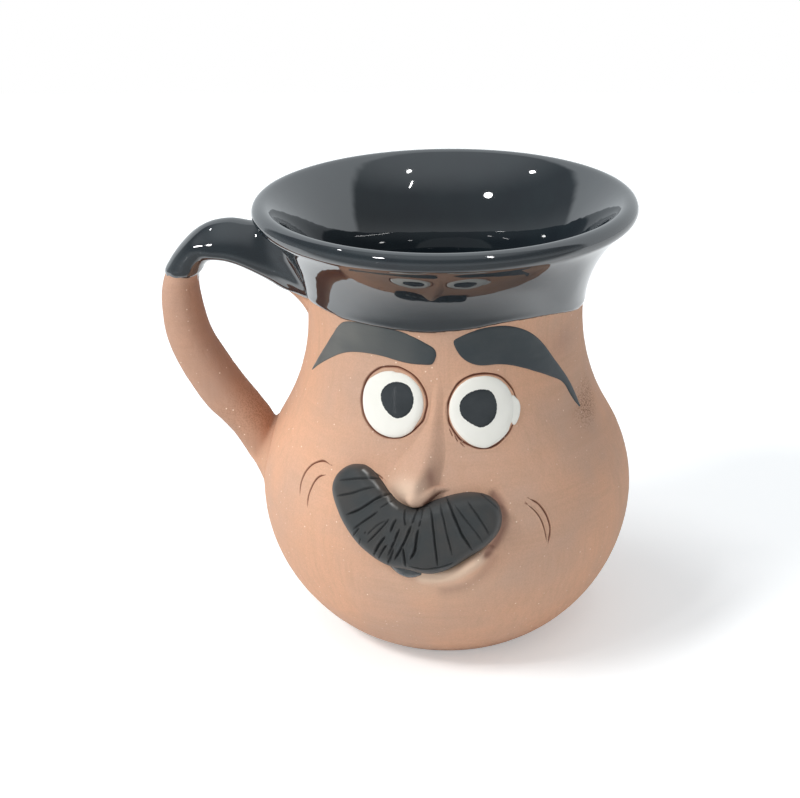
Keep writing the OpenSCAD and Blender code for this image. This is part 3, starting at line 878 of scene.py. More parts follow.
@dataclass(frozen=True)
class Gloss:
    """A fired glaze or slip: glassy or waxy, with the ripple of its brushed or poured coat."""

    name: str
    colour: str
    second: str
    roughness: float
    ior: float
    ripple_mm: float
    ripple_depth: float
    groove: str | None = None
    worn: str | None = None
    # The coat pools unevenly over some 6 mm
    pools: float = 160.0

    def make(self) -> Material:
        """Builds the material.

        Returns:
            The material, with its patterns on object coordinates.
        """
        material = bpy.data.materials.new(self.name)
        tree = cleared(material)
        where = add(tree, "ShaderNodeTexCoord").outputs["Object"]
        ripple = add(tree, "ShaderNodeTexNoise", values={
            "Vector": where, "Scale": 1 / (self.ripple_mm * MM), "Detail": 2.0})
        pool = add(tree, "ShaderNodeTexNoise", values={
            "Vector": where, "Scale": self.pools, "Detail": 3.0})
        share = add(tree, "ShaderNodeMapRange", values={"Value": pool, 1: 0.35, 2: 0.7})
        shown = add(tree, "ShaderNodeMix", COLOURS, {
            "Factor": share, 6: to_linear(self.colour), 7: to_linear(self.second)})
        # The groove colour paints shade into grooves, and the sheen colour a painted sheen or
        # highlight
        for label, code in (("cut", self.groove), ("worn", self.worn)):
            if code:
                amount = add(tree, "ShaderNodeAttribute", {"attribute_name": label})
                shown = add(tree, "ShaderNodeMix", COLOURS, {
                    "Factor": amount.outputs["Fac"], 6: shown, 7: to_linear(code)})
        bump = add(tree, "ShaderNodeBump", values={
            "Strength": 1.0, "Distance": self.ripple_depth * MM, "Height": ripple})
        surface = add(tree, "ShaderNodeBsdfPrincipled", values={
            "Base Color": shown, "Roughness": self.roughness, "IOR": self.ior, "Normal": bump})
        add(tree, "ShaderNodeOutputMaterial", values={"Surface": surface})
        return material


@dataclass
class Finishes:
    """The materials of the mug, made once."""

    clay: Material = field(default_factory=FiredClay().make)
    # A lead-bright black glaze, poured thick: a mirror with a slow ripple
    glaze: Material = field(default_factory=Gloss(
        "Poured black glaze", "#1A2127", "#1D262B", 0.035, 2.1, 8.0, 0.06).make)
    # Manganese slip on the moustache: satin, burnished by handling, with painted shade in the
    # combed grooves and a painted highlight along its edge
    slip: Material = field(default_factory=Gloss(
        "Burnished dark slip", "#3D4041", "#474543", 0.46, 1.5, 1.1, 0.03,
        "#27292A", "#A9ABAA").make)
    # The brows are the same slip, brushed on thin and flat, with a painted sheen that lightens the
    # left one
    brow: Material = field(default_factory=Gloss(
        "Brushed dark slip", "#3F464A", "#484D4F", 0.5, 1.45, 0.8, 0.02, None, "#6B6B67").make)
    # Opaque white glaze of the eyes, trailed on so that it domes
    white: Material = field(default_factory=Gloss(
        "Trailed white glaze", "#FCF9F0", "#F8F5EB", 0.16, 1.5, 3.0, 0.03).make)
    # Dark glaze of the mouth, crawled and wrinkled
    wrinkled: Material = field(default_factory=Gloss(
        "Wrinkled dark glaze", "#3C4144", "#4C5153", 0.14, 1.9, 1.3, 0.16).make)
    # Dark glaze of the irises
    iris: Material = field(default_factory=Gloss(
        "Trailed dark glaze", "#2C3033", "#363A3D", 0.13, 1.6, 2.0, 0.04).make)


def dress(obj: Object, finish: Material, slot: str, *nodes: str) -> None:
    """Gives a piece its finish and hands it to the frame.

    Args:
        obj: The piece.
        finish: Its material.
        slot: The record's material slot; not used.
        nodes: The CAD nodes that it stands for.
    """
    obj.data.materials.clear()
    obj.data.materials.append(finish)
    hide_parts(*nodes)
    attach(obj, BODY)
    LOG.info("%s: %d faces, stands for %s", obj.name, len(obj.data.polygons), ", ".join(nodes))


@dataclass
class ClayPot:
    """The thrown pot with its eye rings, cheek creases and tool marks."""

    columns: int = 240
    low_z: float = 1.0
    high_z: float = 93.0
    front: float = 1.15
    fine_gap: float = 0.85
    coarse_gap: float = 2.3
    # A hollow beside the moustache
    hollow_depth: float = 0.75
    hollow_reach: float = 0.85
    # The flat foot with its hollow middle, as radius and height
    foot: Places = ((26.75, 0.45), (26.3, 0.12), (25.6, 0.0), (22.0, 0.0), (15.0, 0.25),
                    (6.0, 0.3))
    left_ring: Places = (
        (-11.4, 78.9), (-9.4, 79.0), (-7.5, 78.4), (-5.9, 77.5), (-4.5, 76.1), (-3.3, 74.2),
        (-2.7, 72.3), (-2.6, 70.7), (-3.0, 68.9), (-3.5, 67.3), (-4.5, 66.1), (-5.9, 64.8),
        (-7.3, 63.8), (-8.9, 63.1), (-10.6, 62.8), (-12.6, 62.8), (-14.4, 63.2), (-16.0, 64.0),
        (-17.4, 65.2), (-18.4, 66.7), (-18.9, 68.6), (-19.0, 70.4), (-18.6, 72.3),
        (-17.8, 74.4), (-16.4, 76.3), (-14.7, 77.7), (-13.2, 78.5))
    right_ring: Places = (
        (18.2, 71.4), (17.7, 72.7), (16.4, 74.5), (14.8, 76.1), (13.1, 77.0), (11.2, 77.5),
        (9.5, 77.6), (7.6, 77.4), (5.8, 76.7), (4.4, 75.6), (3.3, 74.0), (2.5, 72.2),
        (2.1, 70.4), (2.1, 68.6), (2.6, 66.6), (3.8, 64.6), (5.2, 63.0), (6.8, 62.0),
        (8.7, 61.2), (10.3, 60.9), (12.0, 60.9), (13.7, 61.4), (15.1, 62.3), (16.7, 63.6),
        (17.5, 64.8), (17.9, 65.4))
    creases: tuple[Places, ...] = (
        ((-37.8, 44.8), (-37.6, 47.7), (-36.4, 50.2), (-34.4, 52.3), (-32.0, 53.7),
         (-29.7, 54.4), (-27.4, 54.1)),
        ((-34.7, 43.1), (-34.5, 45.6), (-33.7, 47.6), (-32.5, 49.6), (-30.9, 51.1),
         (-28.8, 51.9)),
        ((21.6, 49.3), (23.9, 47.9), (25.8, 45.7), (27.0, 43.2), (27.4, 40.8), (26.8, 37.6)),
        ((21.2, 48.1), (23.1, 46.5), (24.5, 44.7), (25.5, 42.6), (26.2, 40.1), (26.4, 38.4)))
    scratches: tuple[Places, ...] = (
        ((-15.9, 55.2), (-13.5, 54.5), (-11.4, 52.9)),
        ((2.5, 65.6), (3.3, 63.8)),
        ((3.7, 64.2), (4.5, 62.6)),
        ((5.0, 62.6), (5.9, 61.6)))
    hollow: Places = ((12.9, 51.2), (14.7, 49.1), (15.5, 46.4), (15.3, 44.1), (14.3, 41.8),
                      (12.7, 39.8), (11.2, 38.8))
    # Pale dust along the top of the lower lip, and a painted highlight where its top is lit
    lip_edge: Places = ((-3.4, 32.4), (-1.4, 32.9), (0.6, 33.5), (3.2, 34.5), (5.6, 35.9),
                        (7.7, 37.3), (9.4, 38.2))
    # Painted shade in the fold under it
    fold: Places = ((1.5, 28.6), (5.0, 29.8), (8.2, 31.4), (10.8, 33.8), (12.4, 36.6))

    def strokes(self) -> list[Stroke]:
        """All lines cut into the pot.

        Returns:
            The eye rings, the cheek creases and the nicks.
        """
        rings = [Stroke(self.left_ring, 0.42, 0.45, closed=True),
                 Stroke(self.right_ring, 0.42, 0.48, taper=0.25)]
        folds = [Stroke(c, w, 0.34) for c, w in zip(self.creases, (0.34, 0.32, 0.36, 0.24))]
        nicks = [Stroke(c, w, 0.2) for c, w in zip(self.scratches, (0.24, 0.22, 0.2, 0.18))]
        return rings + folds + nicks

    def unevenness(self, points: Array) -> Array:
        """How far the hand-thrown wall strays from its curve, in millimetres."""
        throwing = np.sin(points[:, 2] * 2 * math.pi / 3.1 + 2 * wander(points, 30, 5.0))
        return 0.10 * wander(points, 22, 1.0) + 0.025 * wander(points, 6, 9.0) + 0.012 * throwing

    def surface(self, x: Array, z: Array) -> Array:
        """Height of the uneven wall over its curve at places on the face."""
        return (self.unevenness(FORM.place(x, z, np.zeros_like(x)))
                - self.hollow_depth * faded(x, z, self.hollow, self.hollow_reach))

    def marks(self, x: Array, z: Array) -> dict[str, Array]:
        """Where the clay of the face is stained, dusty or smudged, and where shade and a highlight
        are painted on it.

        Args:
            x: Places along the surface from the face's middle.
            z: Their heights.

        Returns:
            Amounts by name. The nose and the lip use them too, so that no edge shows.
        """
        def spot(at_x: float, at_z: float, wide: float, tall: float) -> Array:
            """Fades out from a place."""
            return np.exp(-(((x - at_x) / wide) ** 2 + ((z - at_z) / tall) ** 2))

        # Iron on the temple, and painted shade in the hollow by the moustache,
        # in the fold under the lip and in the dent by the nostril
        ruddy = (1.4 * faded(x, z, self.hollow, self.hollow_reach)
                 + 0.42 * faded(x, z, self.fold, 1.8)
                 + 0.3 * spot(33, 80, 6, 4) + 0.9 * spot(-1.5, 55.1, 0.9, 1.9))
        # Chalky clay on the nose's tip and the chin; along the lip, pale dust and a painted
        # highlight
        dust = 0.85 * spot(-7.0, 52.3, 4.6, 2.6) + 0.95 * faded(x, z, self.lip_edge, 1.4)
        dust += 0.4 * spot(3, 31, 11, 5)
        # A sooty patch on the right temple
        smudge = 0.9 * spot(44, 63, 6, 4.5)
        return {"ruddy": np.clip(ruddy, 0, 1), "dust": np.clip(dust, 0, 1),
                "smudge": np.clip(smudge, 0, 1)}

    def wall(self, lines: Array) -> tuple[Array, Array, Array]:
        """The outside wall as triangles that are finer on the face and along its lines.

        Args:
            lines: Rows of x, z, half width and depth of the strokes.

        Returns:
            Turn, height and triangles, sewn up at the back.
        """
        z_table = np.linspace(self.low_z, self.high_z, 800)
        steps = np.hypot(np.diff(z_table), np.diff(FORM.radius(z_table)))
        s_table = np.concatenate([[0], np.cumsum(steps)])
        span, half = s_table[-1], math.pi * FORM.belly_radius
        edge = np.linspace(-half, half, self.columns + 1)
        side = np.linspace(0, span, 44)[1:-1]
        parts = [np.column_stack([edge, np.full_like(edge, s)]) for s in (0, span)]
        parts += [np.column_stack([np.full_like(side, q), side]) for q in (-half, half)]
        squeeze = FORM.belly_radius / FORM.radius(lines[:, 1])
        line = np.column_stack([lines[:, 0] / FORM.radius(lines[:, 1]) * FORM.belly_radius,
                                np.interp(lines[:, 1], z_table, s_table)])
        way = np.roll(line, -1, axis=0) - line
        jump = np.hypot(way[:, 0], way[:, 1]) > 1.0
        way[jump] = np.roll(way, 1, axis=0)[jump]
        normal = unit(np.column_stack([-way[:, 1], way[:, 0]]))
        normal[:, 0] *= squeeze
        # Rows of points beside each line, at shares of its half width
        for k, share in enumerate((0, 0.35, -0.35, 0.7, -0.7, 1.0, -1.0, 1.5, -1.5, 2.3, -2.3)):
            beside = line + normal * (share * np.maximum(lines[:, 2], 0.15))[:, None]
            parts.append(beside[k % 2::2])
        reach = self.front * FORM.belly_radius
        for gap, near, far in ((self.fine_gap, 0.0, reach), (self.coarse_gap, reach, half)):
            grid = honeycomb((-half + gap, gap), (half - gap, span - gap * 0.5), gap)
            grid = grid[(abs(grid[:, 0]) >= near) & (abs(grid[:, 0]) < far)]
            parts.append(grid[nearest(grid, line[::3]) > 0.95])
        flat, faces = triangles(np.vstack(parts), 0)
        right = np.flatnonzero(flat[:, 0] > half - 1e-4)
        left = np.flatnonzero(flat[:, 0] < -half + 1e-4)
        twin = left[[int(np.argmin(abs(flat[left, 1] - flat[i, 1]))) for i in right]]
        renamed = np.arange(len(flat))
        renamed[right] = twin
        return (flat[:, 0] / FORM.belly_radius, np.interp(flat[:, 1], s_table, z_table),
                renamed[faces])

    def make(self, finish: Material) -> Object:
        """Builds the pot's clay.

        Args:
            finish: The clay.

        Returns:
            The pot as one closed piece.
        """
        rows = [stroke.line(0.14) for stroke in self.strokes()]
        turn, z, faces = self.wall(np.vstack(rows))
        x = turn * FORM.radius(z)
        points = list(FORM.place_turned(turn, z, self.surface(x, z)))
        whole = [tuple(f) for f in faces]
        angles = np.linspace(-math.pi, math.pi, self.columns, endpoint=False)

        def close(at_edge: Array, rings: Sequence[tuple[float, float]], last_z: float,
                  upward: bool) -> None:
            """Adds rings of points from an edge of the wall and closes them on the axis.

            Args:
                at_edge: Whether each point of the wall lies on the edge.
                rings: Radius and height of each ring.
                last_z: Height of the point on the axis.
                upward: Whether the edge is the upper one.
            """
            before = [i for i in np.flatnonzero(at_edge) if turn[i] < math.pi - 1e-4]
            before.sort(key=lambda i: turn[i])
            for r, h in rings:
                ring = list(range(len(points), len(points) + self.columns))
                points.extend(around(r, angles, h))
                for j in range(self.columns):
                    k = (j + 1) % self.columns
                    quad = (before[j], before[k], ring[k], ring[j])
                    whole.append(quad if upward else quad[::-1])
                before = ring
            tip = len(points)
            points.append(np.array([0.0, 0.0, last_z]))
            for j in range(self.columns):
                fan = (before[j], before[(j + 1) % self.columns], tip)
                whole.append(fan if upward else fan[::-1])

        climb = np.linspace(self.high_z, FORM.flare_top, 12)[1:-1]
        over, _ = FORM.inside(2.0)
        upper = [(float(FORM.radius(h)), float(h)) for h in climb] + [tuple(p) for p in over[:-1]]
        close(z > self.high_z - 1e-4, upper, FORM.floor, True)
        close(z < self.low_z + 1e-4, self.foot, self.foot[-1][1], False)
        used = {key: np.concatenate([value, np.zeros(len(points) - len(value))])
                for key, value in self.marks(x, z).items()}
        pot = make_object("thrown_pot", np.array(points), whole, used)
        press(pot, rows, self.surface, 0.25, finish)
        trim_loose(pot)
        return pot


def trim_loose(obj: Object) -> None:
    """Removes points and edges of a piece that belong to no face.

    Args:
        obj: The piece.
    """
    shape = bmesh.new()
    shape.from_mesh(obj.data)
    wires = [e for e in shape.edges if not e.link_faces]
    bmesh.ops.delete(shape, geom=wires, context="EDGES")
    loose = [v for v in shape.verts if not v.link_faces]
    bmesh.ops.delete(shape, geom=loose, context="VERTS")
    shape.to_mesh(obj.data)
    shape.free()


@dataclass
class GlazeCoat:
    """The black glaze that the mouth was dipped in, inside and out."""

    columns: int = 320
    thickness: float = 0.42
    buried: float = 0.3
    hem: float = 1.3
    rail: float = 20.0
    # Turn from the face's middle in degrees and height of the glaze's edge there
    edge: Places = (
        (-180, 88.4), (-150, 88.9), (-120, 88.1), (-100, 88.0), (-80, 88.0), (-59, 88.5),
        (-47, 88.7), (-40, 88.3), (-31, 88.5), (-15, 88.3), (-9, 88.2), (-2, 88.2), (6, 88.5),
        (15, 89.0), (25, 89.5), (37, 89.3), (50, 88.4), (60, 87.0), (77, 85.2), (95, 85.9),
        (120, 87.4), (150, 88.6), (180, 88.4))

    def edge_z(self, turn: Array) -> Array:
        """Height of the glaze's edge at each turn, in millimetres.

        Args:
            turn: Turns round the axis from the face's middle.

        Returns:
            One height for each turn.
        """
        table = curve_through(self.edge, 10)
        base = np.interp(np.degrees(turn), table[:, 0], table[:, 1])
        ring = around(34, turn, 88.0)
        return base + 0.12 * wander(ring, 3.0, 2.0) + 0.05 * wander(ring, 1.1, 4.0)

    def outline(self) -> Array:
        """The coat's outline, up the outside and down the inside.

        Returns:
            Rows of radius and height.
        """
        z = np.concatenate([np.arange(83.0, 92.0, 0.22),
                            np.linspace(92.0, FORM.flare_top, 18)[:-1]])
        over, ways = FORM.inside(1.3)
        points = np.vstack([np.column_stack([FORM.radius(z), z]), over])
        normals = np.vstack([np.column_stack(FORM.outward(z)), ways])
        hidden = np.unique(np.append(np.arange(0, len(points), 3), len(points) - 1))
        return np.vstack([points + normals * self.thickness,
                          (points - normals * self.buried)[hidden][::-1]])

    def make(self, finish: Material) -> Object:
        """Throws the coat and lets its edge wander.

        Args:
            finish: The glaze.

        Returns:
            The coat as one closed piece.
        """
        outline = self.outline()
        n = len(outline)
        # The tree lays an outline's x outward and its y downward
        seed = make_object("glaze_coat", np.column_stack([
            outline[:, 0] - self.rail, -outline[:, 1], np.zeros(n)]), [])
        seed.data.edges.add(n)
        loop = np.column_stack([np.arange(n), (np.arange(n) + 1) % n]).ravel()
        seed.data.edges.foreach_set("vertices", loop.astype(np.int32))
        coat = bake_group(seed, lathe_tree(), {
            "Columns": self.columns, "Rail radius": self.rail * MM, "Material": finish})
        trim_loose(coat)
        mesh = coat.data
        flat = np.empty(len(mesh.vertices) * 3)
        mesh.vertices.foreach_get("co", flat)
        p = flat.reshape(-1, 3) / MM
        r = np.hypot(p[:, 0], p[:, 1])
        # Points of the outer side near the edge
        outer = ((p[:, 2] > 80) & (p[:, 2] < 93)
                 & (r > FORM.radius(np.clip(p[:, 2], 60, 100)) + 0.1))
        turn = np.arctan2(p[outer, 0], -p[outer, 1])
        z = p[outer, 2]
        above = z - self.edge_z(turn)
        # The glaze is thickest where it gathered above its edge, and under it there is none
        gathered = self.thickness + 0.12 * np.exp(-(above / 1.6) ** 2)
        thick = np.where(above > 0, gathered * rounded(above, self.hem), 0) - 0.1 * (above <= 0.02)
        p[outer] = FORM.place_turned(turn, z, thick)
        # The rest of the coat above the floor is slightly uneven
        inner = ~outer & (p[:, 2] > 7)
        p[inner, 2] += 0.06 * wander(p[inner], 16, 6.0) * 0.3
        mesh.vertices.foreach_set("co", (p * MM).ravel())
        mesh.update()
        return coat


@dataclass
class StrapHandle:
    """The pulled handle, smeared on at both ends, with the glaze on its top."""

    reach: float = 70.1
    thick: float = 11.6
    wide: float = 14.4
    top_z: float = 104.0
    tail_z: float = 34.0
    sides: int = 120
    steps: int = 16
    coat: float = 0.42
    # The strap starts at this row, and the smeared root runs from there to the pot
    strap_row: float = 1.35
    # The glaze ends before this row, and the clay of the root starts this far off the pot
    glaze_row: float = 5.7
    clay_rest: float = -0.5
    root_steps: int = 20
    narrow: float = 0.42
    # Outline of the smeared root, from its top round the front: across the pot, and height
    root: Places = (
        (0.0, 104.3), (-2.6, 104.2), (-5.2, 103.7), (-7.5, 102.6), (-9.2, 100.4),
        (-10.8, 96.8), (-12.6, 92.8), (-14.1, 89.4), (-13.6, 85.8), (-11.4, 81.8),
        (-8.4, 77.6), (-4.6, 73.6), (0.0, 71.4), (4.4, 73.6), (7.8, 77.8), (10.0, 82.4),
        (11.2, 87.0), (11.2, 91.0), (10.6, 94.4), (9.8, 97.6), (8.8, 100.4), (7.2, 102.6),
        (5.0, 103.7), (2.6, 104.2))
    # Stand-off, height, thickness and width shares and the tilt in degrees of each section
    rows: Places = (
        (0.11, 0.795, 2.46, 0.83, 73), (0.19, 0.875, 1.50, 0.92, 66),
        (0.37, 0.920, 1.03, 0.92, 68), (0.57, 0.925, 0.71, 0.89, 64),
        (0.74, 0.880, 0.59, 0.88, 42), (0.85, 0.790, 0.72, 0.90, 6),
        (0.86, 0.660, 0.87, 0.92, -6), (0.78, 0.520, 0.95, 0.94, -17),
        (0.55, 0.360, 0.97, 0.97, -28), (0.20, 0.230, 0.86, 1.00, -24),
        (0.00, 0.135, 0.80, 0.92, -21), (-0.12, 0.040, 0.55, 0.56, -15))

    def ring(self, row: Array, grow: float) -> Array:
        """One section of the handle.

        Args:
            row: A row of the table of sections.
            grow: How much larger the section is all round.

        Returns:
            The section's points.
        """
        z = self.tail_z + row[1] * (self.top_z - self.tail_z)
        r = float(FORM.radius(z))
        x = r + row[0] * (self.reach - r)
        t = row[2] * self.thick / 2 + grow
        w = row[3] * self.wide / 2 + grow
        a = -np.linspace(0, 2 * math.pi, self.sides, endpoint=False)
        power = 2 / 2.25
        ca = np.sign(np.cos(a)) * abs(np.cos(a)) ** power
        sa = np.sign(np.sin(a)) * abs(np.sin(a)) ** power
        # Near the root the strap is narrower along its top
        sa = sa * (1 - self.narrow * ca * float(smoothstep(50, 66, row[4])))
        tilt = math.radians(row[4])
        return np.column_stack([-x - t * ca * math.cos(tilt), w * sa, z + t * ca * math.sin(tilt)])

    def smear(self, p: Array, radius: float) -> Array:
        """Spreads points near the pot outward, as a thumb smears wet clay.

        Args:
            p: Points of a section.
            radius: Radius of the smeared corner.

        Returns:
            The moved points.
        """
        z = np.clip(p[:, 2], 1, 106)
        away = np.hypot(p[:, 0], p[:, 1]) - FORM.radius(z)
        spread = radius * (1 - rounded(away, radius))
        out = FORM.outward_turned(np.arctan2(p[:, 0], -p[:, 1]), z)
        moved = p + along_skin(p - p.mean(axis=0), out) * spread[:, None]
        # No point may sink further than this into the pot's wall
        least = FORM.radius(np.clip(moved[:, 2], 1, 106)) - 1.2
        r = np.hypot(moved[:, 0], moved[:, 1])
        moved[:, :2] *= (np.maximum(r, least) / np.maximum(r, 1e-6))[:, None]
        return moved

    def root_web(self, rows: Array, grow: float, rest: float) -> Array:
        """Sections of the root, from the pot out to where the strap starts.

        Args:
            rows: The strap's first row and one a little further out.
            grow: How much larger the strap's section is.
            rest: Lift of the surface that the root meets.

        Returns:
            Points in rings.
        """
        outline = curve_through(self.root, self.sides // len(self.root), closed=True)
        across, z = outline[:, 0], outline[:, 1]
        turn = -math.pi / 2 - across / FORM.radius(z)
        # The top and the tip of the root run into the wall, so that no flap shows there
        sunk = 1.4 * smoothstep(97, 102, z) + 1.7 * (1 - smoothstep(73, 84, z))
        landing = FORM.place_turned(turn, z, rest - sunk)
        strap = self.ring(rows[0], grow)
        inward = unit(strap.mean(axis=0) - self.ring(rows[1], grow).mean(axis=0))
        out = FORM.outward_turned(turn, z)
        fan = along_skin(landing - landing.mean(axis=0), out)
        reach = np.linalg.norm(strap - landing, axis=1)[:, None]
        # Below, the clay was smeared out along the wall, and above it stands straight off
        soft = (1 - 0.62 * smoothstep(86, 91, z))[:, None]
        leave = strap + inward * reach * 0.32
        straight = landing + (leave - landing) * 0.35
        arrive = straight * (1 - soft) + (landing - fan * reach * 0.36 + out * 0.3) * soft
        return np.array([(1 - t) ** 3 * strap + 3 * (1 - t) ** 2 * t * leave
                         + 3 * (1 - t) * t ** 2 * arrive + t ** 3 * landing
                         for t in np.linspace(1, 0, self.root_steps + 1)[:-1]])

    def skin(self, last: float, grow: float, rest: float) -> tuple[Array, Array]:
        """Sections of the handle from the pot to a row.

        Args:
            last: Row to end at.
            grow: How much larger each section is.
            rest: Lift of the surface that the root meets.

        Returns:
            Points in rings, and the row number of each ring.
        """
        fine = curve_through(self.rows, self.steps)
        number = np.linspace(0, len(self.rows) - 1, len(fine))
        picked = (number >= self.strap_row) & (number <= last + 1e-6)
        strap, at = fine[picked], number[picked]
        rings = [self.smear(self.ring(row, grow), 1.0 + 2.0 * float(smoothstep(8.6, 10.1, k)))
                 for row, k in zip(strap, at)]
        web = self.root_web(strap[:2], grow, rest)
        before = np.linspace(0, at[0], len(web), endpoint=False)
        skin = np.concatenate([web, np.array(rings)])
        # A thumb drawn along the strap evens out the bend where the root starts
        thumb = 0.5 * np.exp(-((np.arange(1, len(skin) - 1) - len(web)) / 7) ** 2)[:, None, None]
        for _ in range(16):
            skin[1:-1] += ((skin[:-2] + skin[2:]) / 2 - skin[1:-1]) * thumb
        return skin, np.concatenate([before, at])

    def closed(self, name: str, rings: Array, marks: dict[str, Array]) -> Object:
        """Closes rings into one piece with a point at each end.

        Args:
            name: Name of the piece.
            rings: Its points in rings.
            marks: Float attributes by name, one value to a point of the rings.

        Returns:
            The piece.
        """
        n, k = rings.shape[:2]
        ends = np.vstack([rings[0].mean(axis=0), rings[-1].mean(axis=0)])
        faces = tube_faces(n, k, joined=False)
        for j in range(k):
            m = (j + 1) % k
            faces += [(j, m, n * k), ((n - 1) * k + m, (n - 1) * k + j, n * k + 1)]
        used = {key: np.concatenate([v.ravel(), [0, 0]]) for key, v in marks.items()}
        return make_object(name, np.vstack([rings.reshape(-1, 3), ends]), faces, used)

    def make(self) -> Object:
        """Builds the clay of the handle.

        Returns:
            The handle as one closed piece.
        """
        rings, number = self.skin(len(self.rows) - 1, 0.0, self.clay_rest)
        flat = rings.reshape(-1, 3)
        out = unit(rings - rings.mean(axis=1, keepdims=True))
        uneven = 0.22 * wander(flat, 9, 11.0) + 0.06 * wander(flat, 2.4, 12.0)
        pits = np.clip(wander(flat, 1.3, 14.0) - 0.45, 0, 1) * 0.6
        free = smoothstep(2.5, 5.0, number)[:, None]
        rings = rings + out * ((uneven - pits).reshape(rings.shape[:2]) * free)[:, :, None]
        # The bare strap is darker all over, with painted shade on the side that faces the pot;
        # its tail was left grainy, and painted shade darkens the grain more on that side
        inner = np.clip(out[:, :, 0] * 1.2 - 0.1, 0, 1)
        bare = smoothstep(3.6, 5.2, number) * (1 - smoothstep(9.2, 10.2, number))
        grainy = np.exp(-((number - 8.6) / 0.7) ** 2)
        marks = {"ruddy": (0.38 + 0.12 * inner) * bare[:, None],
                 "smudge": np.clip(grainy[:, None] * (0.3 + 0.3 * inner), 0, 1)}
        return self.closed("pulled_handle", rings, marks)

    def make_glaze(self, coat: GlazeCoat) -> Object:
        """Builds the glaze on the top of the handle.

        Args:
            coat: The coat on the pot, whose edge it meets.

        Returns:
            The glaze as one closed piece.
        """
        inside, _ = self.skin(self.glaze_row, -0.5, -1.0)
        outer, _ = self.skin(self.glaze_row, self.coat, coat.thickness - 0.06)
        clay, _ = self.skin(self.glaze_row, 0.0, self.clay_rest)
        flat = outer.reshape(-1, 3)
        line = 88.0 + 3.2 * smoothstep(-36, -66, outer[:, :, 0])
        line = line + (0.35 * wander(flat, 4.5, 21.0) + 0.1 * wander(flat, 1.4, 22.0)).reshape(
            line.shape)
        above = outer[:, :, 2] - line
        # The edge swells a little before the coat settles to its thickness
        rise = rounded(above, 1.3) * 1.2 - 0.25 * smoothstep(0.6, 3.0, above)
        cover = np.where(above > 0, np.clip(rise, 0, 1.15), 0)
        # Below the edge the piece hides just under the clay
        deep = clay + (clay.mean(axis=1, keepdims=True) - clay) * 0.03
        shown = deep + (outer - deep) * cover[:, :, None]
        rings = np.concatenate([shown, inside[::-1]])
        return make_object("handle_glaze", rings.reshape(-1, 3),
                           tube_faces(*rings.shape[:2], joined=True))


def soft_union(a: Array, b: Array, blend: float) -> Array:
    """The higher of two surfaces, with the fold between them filled a little."""
    share = np.clip(0.5 + 0.5 * (a - b) / blend, 0, 1)
    return b + (a - b) * share + blend * share * (1 - share)


